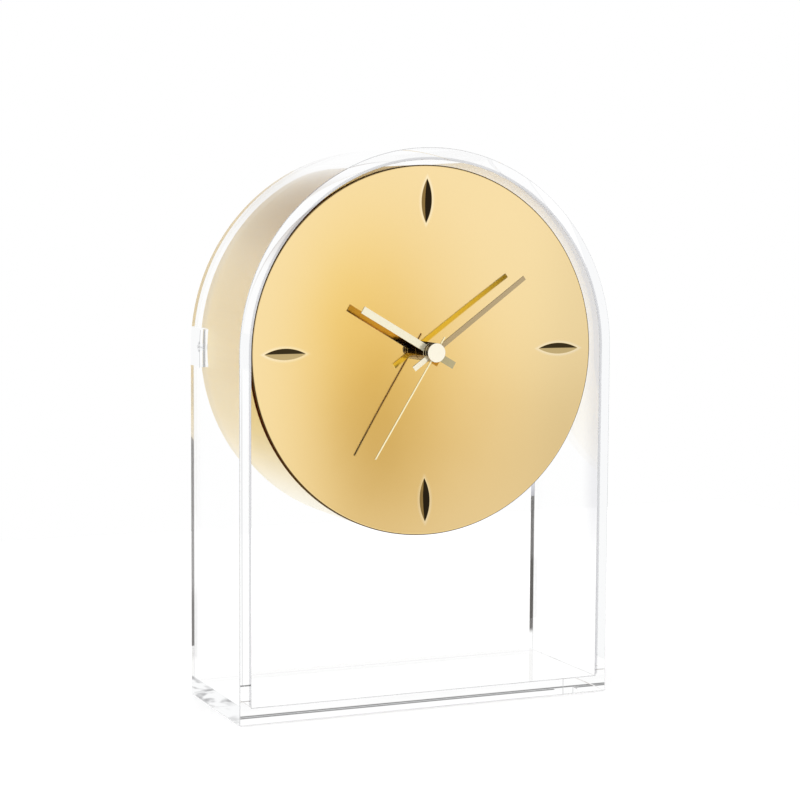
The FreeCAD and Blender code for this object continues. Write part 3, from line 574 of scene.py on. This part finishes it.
class Sheet:
    """The shader nodes of one finish, or of the studio's surroundings."""

    def __init__(self, name, world=None):
        self.owner = world or bpy.data.materials.new(name)
        self.owner.use_nodes = True
        self.tree = self.owner.node_tree
        names = ("Background", "World Output") if world else ("Principled BSDF", "Material Output")
        self.shader, self.out = (self.tree.nodes[name] for name in names)

    def add(self, kind, settings=None, values=None, output=0):
        """Add a node: its settings come first, then the values or wires of its sockets."""
        node = self.tree.nodes.new(kind)
        for key, value in (settings or {}).items():
            setattr(node, key, value)
        for key, value in (values or {}).items():
            self.feed(node.inputs[key], value)
        return Wire(self, node.outputs[output])

    def feed(self, socket, value):
        """Set a socket, or link a wire to it."""
        if isinstance(value, Wire):
            self.tree.links.new(value.socket, socket)
        elif isinstance(value, tuple) and len(value) == 3 and socket.type == "RGBA":
            socket.default_value = value + (1.0,)
        else:
            socket.default_value = value

    def set(self, **values):
        """Set the main shader's sockets."""
        for key, value in values.items():
            self.feed(self.shader.inputs[key.replace("_", " ")], value)
        return self.owner

    def show(self, share, first, second):
        """Show one shader or another; the piece's own shader is given as None."""
        own = Wire(self, self.shader.outputs[0])
        shown = self.add("ShaderNodeMixShader", values={0: share, 1: first or own, 2: second or own})
        self.feed(self.out.inputs["Surface"], shown)
        return self.owner

    def glow(self, colour, strength=1.0):
        return self.add("ShaderNodeEmission", values={"Color": colour, "Strength": strength})

    def maths(self, operation, *terms):
        return self.add("ShaderNodeMath", {"operation": operation}, dict(enumerate(terms)))

    def size_of(self, value):
        return self.maths("ABSOLUTE", value)

    def above(self, value, limit):
        return self.maths("GREATER_THAN", value, limit)

    def largest(self, first, *others):
        """Return the largest of some numbers."""
        for other in others:
            first = self.maths("MAXIMUM", first, other)
        return first

    def length(self, first, second):
        """Return the length of a flat vector."""
        return self.maths("SQRT", first * first + second * second)

    def fade(self, value, low, high, start=0.0, end=1.0):
        """Return a number that goes smoothly from start to end as a value goes from low to high."""
        settings = {"interpolation_type": "SMOOTHSTEP"}
        return self.add("ShaderNodeMapRange", settings, {0: value, 1: low, 2: high, 3: start, 4: end})

    def near(self, value, inner, outer):
        """Return 1 where a value is closer to zero than inner, and 0 beyond outer."""
        return self.fade(self.size_of(value), inner, outer, 1.0, 0.0)

    def place(self):
        """Return the place on the piece."""
        return self.add("ShaderNodeTexCoord", output="Object")

    def path(self, output):
        """Return one of the light path's numbers."""
        return self.add("ShaderNodeLightPath", output=output)

    def parts(self, vector):
        """Return the three numbers of a vector."""
        node = self.add("ShaderNodeSeparateXYZ", values={0: vector}).socket.node
        return [Wire(self, socket) for socket in node.outputs]

    def joined(self, x, y, z):
        return self.add("ShaderNodeCombineXYZ", values={0: x, 1: y, 2: z})

    def noise(self, vector, scale, detail=2.0, roughness=0.5):
        values = {"Vector": vector, "Scale": scale, "Detail": detail, "Roughness": roughness}
        return self.add("ShaderNodeTexNoise", {"noise_dimensions": "3D"}, values, "Fac")

    def mix(self, share, first, second):
        """Return a colour between two."""
        settings = {"data_type": "RGBA", "clamp_factor": True}
        return self.add("ShaderNodeMix", settings, {0: share, 6: first, 7: second}, 2)

    def darker(self, colour, share):
        """Return a colour times another."""
        settings = {"data_type": "RGBA", "blend_type": "MULTIPLY"}
        return self.add("ShaderNodeMix", settings, {0: 1.0, 6: colour, 7: share}, 2)

    def bump(self, height, distance, strength=1.0):
        values = {"Strength": strength, "Distance": distance, "Height": height}
        return self.add("ShaderNodeBump", values=values)


def dial_finish():
    """Gold that mirrors softly, with a painted highlight round the marks, painted light and shade on the
    marks' flanks that makes them darker, a painted dark line on the rounded edge and painted shade on the
    skirt.
    """
    sheet = Sheet("satin_dial_gold")
    place = sheet.place()
    x, y, z = sheet.parts(place)
    radius = sheet.length(x, z - AXIS_Z)
    cloud = sheet.noise(place, 22.0, 3.0)
    colour = sheet.mix(cloud, (0.90, 0.69, 0.33), (0.93, 0.72, 0.36))

    across, up = sheet.size_of(x), sheet.size_of(z - AXIS_Z)
    shift = MARK_ARC - MARK_WIDTH / 2
    past_upright = sheet.length(across + shift, up - MARK_RADIUS) - MARK_ARC
    past_level = sheet.length(up + shift, across - MARK_RADIUS) - MARK_ARC
    past_mark = sheet.maths("MINIMUM", past_upright, past_level)
    # Painted highlight: a pale band just outside the edge of each groove.
    lip = sheet.fade(past_mark, -0.05 * MM, 0.05 * MM) * sheet.fade(past_mark, 0.0, 1.8 * MM, 0.65, 0.0)
    colour = sheet.mix(lip, colour, (0.99, 0.87, 0.60))

    # Painted shade: the skirt is painted near black low down and dull gold higher up.
    skirt = sheet.fade(radius, DRUM_RADIUS - 0.2 * MM, DRUM_RADIUS - 0.05 * MM)
    skirt = skirt * sheet.fade(y, DIAL_RIM_Y + 0.3 * MM, DIAL_RIM_Y + 0.6 * MM)
    skirt_painted_light_above = sheet.fade(z, AXIS_Z - 10 * MM, AXIS_Z + 30 * MM)
    colour = sheet.mix(skirt, colour, sheet.mix(skirt_painted_light_above, (0.02, 0.012, 0.004), (0.60, 0.50, 0.34)))
    # Painted shade: a dark line on the outer part of the rounded edge.
    painted_dark_rim = sheet.fade(radius, DISH_EDGE + 0.15 * MM, DISH_EDGE + 0.3 * MM)
    colour = sheet.mix(painted_dark_rim, colour, (0.10, 0.065, 0.025))

    # Painted light and shade on the grooves' flanks: the 3 and 9 marks dark on their upper flank, the 12 and
    # 6 marks dark on their right flank.
    painted_dark_upper_flank = sheet.fade(z, AXIS_Z - 0.05 * MM, AXIS_Z + 0.15 * MM)
    level_painted_shading = sheet.mix(painted_dark_upper_flank, (0.62, 0.46, 0.20), (0.04, 0.028, 0.012))
    painted_dark_right_flank = sheet.fade(x, -0.5 * MM, 0.0)
    upright_painted_shading = sheet.mix(painted_dark_right_flank, (0.30, 0.19, 0.06), (0.025, 0.017, 0.008))
    colour = sheet.mix(sheet.fade(past_level, -0.25 * MM, -0.05 * MM, 1.0, 0.0), colour, level_painted_shading)
    colour = sheet.mix(sheet.fade(past_upright, -0.25 * MM, -0.05 * MM, 1.0, 0.0), colour, upright_painted_shading)
    return sheet.set(
        Base_Color=colour, Metallic=1.0, Roughness=0.06 + 0.02 * cloud + 0.15 * skirt,
        Specular_Tint=(0.35, 0.27, 0.15))


def drum_finish(name, pale):
    """Satin pale gold with faint streaks along the drum, and painted pale light towards the bottom."""
    sheet = Sheet(name)
    x, y, z = sheet.parts(sheet.place())
    angle = sheet.maths("ARCTAN2", x, z - AXIS_Z)
    streaks = sheet.noise(sheet.joined(angle * 40.0, y * 3.0, 0.0), 1.0, 4.0, 0.6)
    colour = sheet.mix(streaks, (0.76, 0.55, 0.17), (0.94, 0.72, 0.25))
    # Painted light: paler towards the bottom, by the share given as pale.
    low = sheet.fade(z, AXIS_Z - 90 * MM, AXIS_Z - 30 * MM, pale, 0.0)
    colour = sheet.mix(low, colour, (0.96, 0.92, 0.80))
    return sheet.set(Base_Color=colour, Metallic=1.0, Roughness=0.3 + 0.12 * streaks)


def hand_finish(name, bar, tail, back, metallic, angle, middle):
    """Brushed metal with painted light and shade: the bar, the tail and the back each get their own painted
    tone.
    """
    sheet = Sheet(name)
    x, y, z = sheet.parts(sheet.place())
    turn = math.radians(angle)
    along = x * math.sin(turn) + (z - AXIS_Z) * math.cos(turn)
    beside = x * math.cos(turn) - (z - AXIS_Z) * math.sin(turn)
    behind = sheet.fade(y, middle - 0.05 * MM, middle + 0.05 * MM)
    grain = sheet.noise(sheet.joined(along * 300.0, y * 4000.0, beside * 6000.0), 1.0, 3.0)
    # Painted light and shade: the tail, the bar and the back each take their own tone.
    colour = sheet.mix(sheet.fade(along, -3 * MM, 3 * MM), tail, bar)
    colour = sheet.mix(behind, colour, back)
    colour = sheet.darker(colour, sheet.mix(grain, (0.86, 0.84, 0.80), (1.0, 1.0, 1.0)))
    return sheet.set(
        Base_Color=colour, Metallic=metallic + (1 - metallic) * behind,
        Roughness=0.12 - 0.08 * behind + 0.06 * grain, Normal=sheet.bump(grain, 0.002 * MM, 0.3))


def hub_finish():
    """Pale satin gold on the front face, and polished sides painted dark, a painted shade."""
    sheet = Sheet("satin_hub_gold")
    x, y, z = sheet.parts(sheet.place())
    rings = sheet.noise(sheet.joined(x, 0.0, z), 4000.0, 2.0)
    side = sheet.fade(sheet.length(x, z - AXIS_Z), HUB_RADIUS - 0.1 * MM, HUB_RADIUS - 0.03 * MM)
    colour = sheet.mix(rings, (0.88, 0.82, 0.65), (1.0, 0.97, 0.84))
    # Painted shade: the sides are painted dark brown.
    colour = sheet.mix(side, colour, (0.26, 0.18, 0.11))
    return sheet.set(Base_Color=colour, Metallic=0.35 + 0.65 * side, Roughness=0.1 + 0.08 * rings)


def painted_edge_shade(sheet, y, z, reach):
    """Return where the painted dark edge lines go: 1 on the small rounds at the front and back of the case,
    and 0 elsewhere.
    """
    inner, outer = 0.8 * CASE_EDGE, 1.2 * CASE_EDGE
    at_face = sheet.fade(sheet.size_of(y), CASE_BACK - outer, CASE_BACK - inner)
    outer_edge = sheet.fade(reach, CASE_HALF_WIDTH - outer, CASE_HALF_WIDTH - inner)
    inner_edge = sheet.near(reach - INNER_RADIUS, inner, outer)
    inner_edge = inner_edge * sheet.fade(z, SLAB_HEIGHT - CASE_EDGE, SLAB_HEIGHT)
    slab_edge = sheet.near(z - SLAB_HEIGHT, inner, outer)
    slab_edge = slab_edge * sheet.fade(reach, INNER_RADIUS, INNER_RADIUS + CASE_EDGE, 1.0, 0.0)
    foot_edge = sheet.fade(z, inner, outer, 1.0, 0.0)
    edge = sheet.largest(outer_edge, inner_edge, foot_edge, slab_edge) * at_face
    # The painted dark lines are fainter high up at the back, and full at the front.
    painted_lines_fainter_up_back = sheet.fade(z, 150 * MM, AXIS_Z, 1.0, 0.3)
    return edge * sheet.largest(painted_lines_fainter_up_back, sheet.fade(y, 0.0, MM, 1.0, 0.0))


def acrylic_finish():
    """Clear polished acrylic with painted dark edge lines and painted grey bands; light that stays inside it
    for long ends on a painted pale glow.
    """
    sheet = Sheet("polished_acrylic")
    place = sheet.place()
    x, y, z = sheet.parts(place)
    turned_back = sheet.path("Glossy Depth")
    reach = sheet.length(x, sheet.largest(z - AXIS_Z, 0.0))

    # Painted shade: grey bands along the inner walls, and dark lines on the back face below the slab's top
    # and where the lugs join the walls.
    painted_inner_side_shade = sheet.near(reach - INNER_RADIUS, 0.2 * MM, 0.4 * MM)
    painted_inner_side_shade = painted_inner_side_shade * sheet.fade(z, 60 * MM, 110 * MM) * sheet.fade(x, 20 * MM, 50 * MM)
    painted_inner_side_shade = painted_inner_side_shade * sheet.fade(y, CASE_FRONT + 0.3 * MM, CASE_FRONT + 0.5 * MM)
    painted_inner_side_shade = painted_inner_side_shade * sheet.fade(y, CASE_FRONT + 3 * MM, CASE_FRONT + 20 * MM, 1.0, 0.0)
    painted_inner_band_shade = sheet.near(reach - INNER_RADIUS - 0.5 * MM, 0.6 * MM, 1.2 * MM)
    painted_inner_band_shade = painted_inner_band_shade * sheet.fade(y, CASE_FRONT + 0.3 * MM, CASE_FRONT + 0.5 * MM, 1.0, 0.0)
    painted_inner_band_shade = painted_inner_band_shade * sheet.fade(z, SLAB_HEIGHT, SLAB_HEIGHT + 2 * MM)
    painted_dark_back_line = sheet.near(z - SLAB_HEIGHT + 0.4 * MM, 0.3 * MM, 0.6 * MM)
    painted_dark_back_line = painted_dark_back_line * sheet.fade(y, CASE_BACK - 0.4 * MM, CASE_BACK - 0.2 * MM)
    painted_dark_back_line = painted_dark_back_line * sheet.above(turned_back, 0.5)
    beside_lug = sheet.near(z - AXIS_Z, LUG_HEIGHT / 2, LUG_HEIGHT / 2 + 0.5 * MM)
    painted_dark_lug_root = sheet.near(y - LUG_FRONT, 0.2 * MM, 0.4 * MM) * beside_lug
    painted_dark_lug_root = painted_dark_lug_root * sheet.fade(sheet.size_of(x), INNER_RADIUS - 1.6 * MM, INNER_RADIUS - 1.3 * MM)
    colour = sheet.mix(painted_inner_side_shade, (0.997, 0.998, 0.998), (0.74, 0.74, 0.77))
    colour = sheet.mix(painted_inner_band_shade, colour, (0.50, 0.50, 0.52))
    # Painted shade: darker grey on the small rounds at the front and back.
    colour = sheet.mix(painted_edge_shade(sheet, y, z, reach), colour, (0.42, 0.42, 0.43))
    colour = sheet.mix(sheet.largest(painted_dark_back_line, painted_dark_lug_root), colour, (0.06, 0.06, 0.06))
    sheet.set(
        Base_Color=colour, Roughness=0.004 * sheet.noise(place, 12.0, 1.0), IOR=1.49,
        Transmission_Weight=1.0)

    # Painted light: rays that turn back inside the acrylic many times end on a pale glow, with painted dark
    # streaks in the slab; beside the lugs the glow starts after fewer turns.
    painted_streak_noise = sheet.noise(sheet.joined(x * 40.0, y * 60.0, z * 300.0), 1.0, 1.0)
    in_slab = sheet.fade(z, SLAB_HEIGHT - 0.2 * MM, SLAB_HEIGHT + 0.2 * MM, 0.7, 0.0)
    dark = sheet.fade(painted_streak_noise, 0.48, 0.70) * in_slab
    glow = sheet.glow(sheet.mix(dark, (0.95, 0.955, 0.96), (0.12, 0.12, 0.13)))
    most_turns = 3.5 - 3.0 * beside_lug * sheet.fade(y, 0.0, LUG_FRONT)
    return sheet.show(sheet.above(turned_back, most_turns), None, glow)


def moulded_finish(name, light, dark, roughness, coat=0.0):
    """Moulded plastic or rubber: slightly mottled, with a fine texture."""
    sheet = Sheet(name)
    place = sheet.place()
    cloud = sheet.noise(place, 90.0, 3.0)
    grain = sheet.noise(place, 3500.0, 2.0)
    return sheet.set(
        Base_Color=sheet.mix(cloud, dark, light), Roughness=roughness + 0.12 * cloud, Coat_Weight=coat,
        Normal=sheet.bump(grain, 0.02 * MM, 0.4))


def metal_finish(name, light, dark, roughness, stretch=(1.0, 1.0, 1.0)):
    """Bare metal with drawn or ground streaks."""
    sheet = Sheet(name)
    x, y, z = sheet.parts(sheet.place())
    streaks = sheet.noise(sheet.joined(x * stretch[0], y * stretch[1], z * stretch[2]), 2500.0, 4.0, 0.6)
    return sheet.set(
        Base_Color=sheet.mix(streaks, dark, light), Metallic=1.0, Roughness=roughness + 0.15 * streaks,
        Normal=sheet.bump(streaks, 0.004 * MM, 0.3))


def wire_finish():
    """Enamelled copper wire, wound round the coil's long axis, with painted shade in the grooves between the
    turns.
    """
    sheet = Sheet("wound_copper")
    wire_pitch = 0.25 * MM
    x, y, z = sheet.parts(sheet.place())
    turns = 0.5 + 0.5 * sheet.maths("SINE", x * (FULL_TURN / wire_pitch))
    # Painted shade: darker copper in the grooves between the turns.
    colour = sheet.mix(turns, (0.30, 0.09, 0.03), (0.80, 0.36, 0.16))
    return sheet.set(
        Base_Color=colour, Metallic=0.8, Roughness=0.3, Coat_Weight=0.4,
        Normal=sheet.bump(turns, 0.08 * MM, 0.6))


def battery_finish():
    """Dark sleeve with bright metal ends and a pale band at one end."""
    sheet = Sheet("battery_sleeve")
    place = sheet.place()
    x, y, z = sheet.parts(place)
    low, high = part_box("battery")
    middle = (low.x + high.x) / 2
    half = (high.x - low.x) / 2
    metal = sheet.fade(sheet.size_of(x - middle), half - 1.9 * MM, half - 1.7 * MM)
    band = sheet.fade(x, middle + 12 * MM, middle + 12.2 * MM)
    cloud = sheet.noise(place, 60.0, 2.0)
    sleeve = sheet.mix(band, (0.035, 0.045, 0.06), (0.72, 0.58, 0.34))
    shade = sheet.mix(cloud * 0.3, sleeve, (0.12, 0.13, 0.15))
    return sheet.set(
        Base_Color=sheet.mix(metal, shade, (0.72, 0.72, 0.74)), Metallic=sheet.largest(metal, band * 0.7),
        Roughness=0.28 + 0.1 * cloud)


# Pieces, the bodies that they ride on, and the finishes

hub_gold = hub_finish()
# The bar, tail and back tones of each hand are painted light and shade.
hour_metal = hand_finish(
    "hour_hand_metal", bar=(0.97, 0.93, 0.72), tail=(0.50, 0.44, 0.25), back=(0.75, 0.60, 0.22),
    metallic=0.5, angle=HOUR_ANGLE, middle=HOUR_FRONT + HAND_THICKNESS / 2)
minute_metal = hand_finish(
    "minute_hand_metal", bar=(0.50, 0.39, 0.22), tail=(1.0, 0.95, 0.76), back=(1.0, 1.0, 0.30),
    metallic=0.7, angle=MINUTE_ANGLE, middle=MINUTE_FRONT + HAND_THICKNESS / 2)
seconds_metal = hand_finish(
    "seconds_hand_metal", bar=(1.0, 0.90, 0.56), tail=(1.0, 0.90, 0.56), back=(0.17, 0.10, 0.02),
    metallic=0.4, angle=SECONDS_ANGLE, middle=SECONDS_FRONT + NEEDLE_THICKNESS / 2)

NEW_PIECES = [
    (case_moulding(), "case_and_drum", "clear_case", "clear_acrylic", acrylic_finish()),
    (drum_body(), "case_and_drum", "drum_shell", "drum_gold", drum_finish("satin_drum_gold", 0.92)),
    (dial_dish(), "case_and_drum", "dial", "dial_gold", dial_finish()),
    (cover_lid(), "cover_set", "rear_cover", "drum_gold", drum_finish("satin_cover_gold", 0.0)),
]
hour_bar = flat_hand(
    "hour_bar", length=46 * MM, tail=15 * MM, root_width=4.0 * MM, tip_width=4.0 * MM,
    front=HOUR_FRONT, thickness=HAND_THICKNESS, bore=HOUR_BORE, angle=HOUR_ANGLE)
minute_bar = flat_hand(
    "minute_bar", length=66 * MM, tail=14.5 * MM, root_width=2.9 * MM, tip_width=2.4 * MM,
    front=MINUTE_FRONT, thickness=HAND_THICKNESS, bore=MINUTE_BORE, angle=MINUTE_ANGLE)
seconds_needle = flat_hand(
    "seconds_needle", length=65.2 * MM, tail=9.7 * MM, root_width=0.8 * MM, tip_width=0.8 * MM,
    front=SECONDS_FRONT, thickness=NEEDLE_THICKNESS, bore=SECONDS_BORE, angle=SECONDS_ANGLE)
hour_collar = boss(
    "hour_collar", HOUR_FRONT + HAND_THICKNESS, DIAL_RIM_Y + DIAL_DISH - HUB_DIAL_GAP, HOUR_BORE)
minute_collar = boss("minute_collar", MINUTE_FRONT + HAND_THICKNESS, HOUR_FRONT - HUB_GAP, MINUTE_BORE)
seconds_collar = boss(
    "seconds_collar", SECONDS_FRONT + NEEDLE_THICKNESS, MINUTE_FRONT - HUB_GAP, SECONDS_BORE)
NEW_PIECES += [
    (hour_bar, "hour_set", "hour_hand", "hand_metal", hour_metal),
    (minute_bar, "minute_set", "minute_hand", "hand_metal", minute_metal),
    (seconds_needle, "seconds_set", "seconds_hand", "hand_metal", seconds_metal),
    (hour_collar, "hour_set", "hour_boss", "hub_metal", hub_gold),
    (minute_collar, "minute_set", "minute_boss", "hub_metal", hub_gold),
    (seconds_collar, "seconds_set", "seconds_boss", "hub_metal", hub_gold),
    (cap_disc(), "seconds_set", "hub_cap", "hub_metal", hub_gold),
]
for piece, body, node, slot, material in NEW_PIECES:
    piece.data.materials.clear()
    piece.data.materials.append(material)
    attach(piece, body)
    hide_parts(node)

black_moulding = moulded_finish("black_moulding", (0.035, 0.035, 0.038), (0.018, 0.018, 0.02), 0.45)
white_moulding = moulded_finish("natural_moulding", (0.82, 0.81, 0.76), (0.72, 0.71, 0.66), 0.4)
brass = metal_finish("turned_brass", (0.86, 0.66, 0.33), (0.70, 0.50, 0.22), 0.25)
spring = metal_finish("spring_strip", (0.80, 0.78, 0.72), (0.66, 0.64, 0.58), 0.2, (0.1, 1.0, 1.0))
CARRIED_OVER = {
    "lug_screws": metal_finish("ground_steel", (0.72, 0.72, 0.73), (0.55, 0.55, 0.56), 0.25),
    "mounting_washer": moulded_finish("black_rubber", (0.03, 0.03, 0.03), (0.015, 0.015, 0.015), 0.75),
    "stator": metal_finish("iron_sheet", (0.55, 0.55, 0.56), (0.40, 0.40, 0.41), 0.4, (0.1, 1.0, 1.0)),
    "rotor_magnet": metal_finish("sintered_magnet", (0.22, 0.22, 0.23), (0.13, 0.13, 0.14), 0.5),
    "coil_winding": wire_finish(),
    "circuit_board": moulded_finish("board_mask", (0.05, 0.24, 0.09), (0.02, 0.15, 0.05), 0.25, 0.5),
    "clock_chip": moulded_finish("chip_resin", (0.02, 0.02, 0.02), (0.01, 0.01, 0.01), 0.15, 0.6),
    "quartz_crystal": metal_finish("drawn_can", (0.78, 0.78, 0.80), (0.65, 0.65, 0.67), 0.2),
    "battery": battery_finish(),
}
SHARED = [
    (black_moulding, ("movement_lid", "movement_case", "train_plate", "setting_knob")),
    (brass, ("mounting_nut", "minute_arbor")),
    (spring, ("positive_contact", "negative_contact")),
    (white_moulding, ("seconds_wheel", "fifth_wheel", "rotor", "third_wheel", "centre_wheel", "hour_wheel",
                      "motion_wheel", "coil_bobbin")),
]
for material, names in SHARED:
    for name in names:
        CARRIED_OVER[name] = material
for name, material in CARRIED_OVER.items():
    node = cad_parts[name]
    node.data.materials.clear()
    node.data.materials.append(material)


# Studio

WHITE = (1.0, 1.0, 1.0)
FLOOR_SIZE = 1.2
FLOOR_DROP = 0.15 * MM
LANE_SLOPE = 0.31
LAMP_PLACE = (-0.5, -0.5, 1.5)
LAMP_AIM = (0, 0, 0.15)
LAMP_SIZE = 1.2
LAMP_POWER = 6.0


def soft_window(sheet, turn, rise, toward):
    """Return the colours of the soft window that the dial mirrors, with its warm spots."""
    low_shade = sheet.fade(rise, -3.8, -2.9) * sheet.fade(turn, 25.2, 25.9, 1.0, 0.0)
    window = sheet.mix(low_shade, (1.04, 1.06, 1.16), (0.86, 0.83, 0.83))
    window = sheet.mix(sheet.fade(turn, 22.05, 22.35), sheet.darker(window, (0.88, 0.88, 0.88)), window)
    warm_spots = [
        ((25.0, -3.4, 0.1, 2.05), (0.88, 0.72, 0.30)), ((25.3, -3.1, 0.0, 1.25), (0.70, 0.61, 0.34)),
        ((25.7, -4.15, 0.0, 1.4), (0.99, 0.88, 0.42)), ((23.4, -3.1, 0.0, 1.3), (1.0, 0.93, 0.76)),
    ]
    for spot, tone in warm_spots:
        window = sheet.mix(toward(*spot), window, sheet.darker(window, tone))
    return window


def studio_world():
    """White surroundings for the eye; for reflections and the clear case, a pale room with a darker front."""
    world = bpy.data.worlds.new("studio")
    bpy.context.scene.world = world
    sheet = Sheet("studio", world)
    x, y, z = sheet.parts(sheet.add("ShaderNodeTexCoord", output="Generated"))
    turn = sheet.maths("ARCTAN2", x, -1.0 * y) * math.degrees(1)
    rise = sheet.maths("ARCSINE", z) * math.degrees(1)

    def toward(right, up, inner, outer, wide=1.0):
        """Return 1 near a direction, given in degrees right of straight ahead and up, and 0 outside."""
        return sheet.fade(sheet.length((turn - right) * (1 / wide), rise - up), inner, outer, 1.0, 0.0)

    through_clear = sheet.above(sheet.path("Transmission Depth"), 0.5)
    mirrored_once = 1 - sheet.above(sheet.path("Glossy Depth"), 1.5)
    room = sheet.mix(toward(72, 0, 8, 36), (0.006, 0.005, 0.004), (0.17, 0.125, 0.08))
    room = sheet.mix(toward(30, 40, 9, 22, 1.6), room, (0.50, 0.44, 0.34))
    room = sheet.mix(sheet.fade(rise, -6.5, -4.5), (0.03, 0.022, 0.014), room)
    room = sheet.mix(through_clear, room, (0.80, 0.79, 0.77))
    room = sheet.mix(toward(22, -9, 8, 12, 1.4) * through_clear, room, (0.03, 0.022, 0.014))
    room = sheet.mix(mirrored_once * (1 - through_clear), room, (0.86, 0.87, 0.93))
    room = sheet.mix(toward(21.6, -7.1, 1.8, 2.8), room, WHITE)
    window = soft_window(sheet, turn, rise, toward)
    room = sheet.mix(toward(24.3, -4.1, 3.6, 5.0, 1.35), room, window)
    back_wall = sheet.mix(sheet.fade(z, 0.25, 0.46), WHITE, (0.46, 0.39, 0.33))
    back_wall = sheet.mix(sheet.fade(z, 0.5, 0.95), back_wall, (0.12, 0.11, 0.10))
    room = sheet.mix(sheet.fade(y, -0.15, 0.2), room, back_wall)
    seen = sheet.mix(sheet.path("Is Camera Ray"), room, WHITE)
    sheet.set(Color=sheet.mix(sheet.path("Is Diffuse Ray"), seen, (0.85, 0.85, 0.86)))


def studio_floor():
    """Plain white floor, just under the clock, with a dark front that only the clear case bends into view."""
    bpy.ops.mesh.primitive_plane_add(size=FLOOR_SIZE, location=(0, 0, -FLOOR_DROP))
    floor = settle(bpy.context.object, "studio_floor")
    sheet = Sheet("studio_white")
    place = sheet.place()
    x, y, z = sheet.parts(place)
    cloud = sheet.noise(place, 3.0)
    sheet.set(Base_Color=sheet.mix(cloud, (0.86, 0.86, 0.86), (0.88, 0.88, 0.88)), Roughness=0.14)
    own = Wire(sheet, sheet.shader.outputs[0])
    lit = sheet.add("ShaderNodeAddShader", values={0: own, 1: sheet.glow(WHITE, 0.25)})

    lane = x + y * LANE_SLOPE
    left_lane = sheet.fade(lane, -0.17, -0.14) * sheet.fade(lane, -0.075, -0.06, 1.0, 0.0)
    right_lane = sheet.fade(lane, 0.06, 0.075)
    in_front = sheet.fade(y, -0.055, -0.035, 1.0, 0.0)
    dark = in_front * sheet.largest(sheet.fade(y, -0.3, -0.2), left_lane, right_lane)
    for depth in ("Glossy Depth", "Transmission Depth"):
        dark = dark * sheet.above(sheet.path(depth), 0.5)
    mirrored = sheet.glow(sheet.mix(dark, (1.05, 1.05, 1.05), (0.025, 0.018, 0.01)))
    plain = sheet.largest(sheet.path("Is Camera Ray"), sheet.path("Is Diffuse Ray"))
    floor.data.materials.append(sheet.show(plain, mirrored, lit))


def softbox(name, place, aim, size, power):
    """Add a soft lamp that faces a point and stays out of the camera's sight and out of reflections."""
    lamp = bpy.data.lights.new(name, "AREA")
    lamp.shape = "SQUARE"
    lamp.size = size
    lamp.energy = power
    holder = bpy.data.objects.new(name, lamp)
    bpy.context.scene.collection.objects.link(holder)
    holder.location = place
    holder.rotation_euler = (Vector(aim) - Vector(place)).to_track_quat("-Z", "Y").to_euler()
    holder.visible_camera = False
    holder.visible_glossy = False


CAMERA_TURN = math.radians(23.78)
CAMERA_RISE = math.radians(5.14)
CAMERA_ROLL = math.radians(0.35)
CAMERA_DISTANCE = 1093.4 * MM
CAMERA_TARGET = Vector((-18.39 * MM, CASE_FRONT, 167.06 * MM))
SENSOR_WIDTH = 36
IMAGE_WIDTH = 800
FOCAL_PIXELS = 2070


def studio_camera():
    """Add the camera where the photograph was taken from."""
    back = Vector((
        -math.sin(CAMERA_TURN) * math.cos(CAMERA_RISE),
        -math.cos(CAMERA_TURN) * math.cos(CAMERA_RISE),
        math.sin(CAMERA_RISE)))
    lens = bpy.data.cameras.new("camera")
    lens.sensor_width = SENSOR_WIDTH
    lens.lens = SENSOR_WIDTH * FOCAL_PIXELS / IMAGE_WIDTH
    holder = bpy.data.objects.new("camera", lens)
    bpy.context.scene.collection.objects.link(holder)
    holder.location = CAMERA_TARGET + back * CAMERA_DISTANCE
    holder.rotation_mode = "QUATERNION"
    holder.rotation_quaternion = (-back).to_track_quat("-Z", "Y") @ Quaternion((0, 0, 1), CAMERA_ROLL)
    bpy.context.scene.camera = holder


studio_world()
studio_floor()
softbox("top_softbox", LAMP_PLACE, LAMP_AIM, LAMP_SIZE, LAMP_POWER)
studio_camera()
bpy.context.scene.view_settings.view_transform = "Standard"
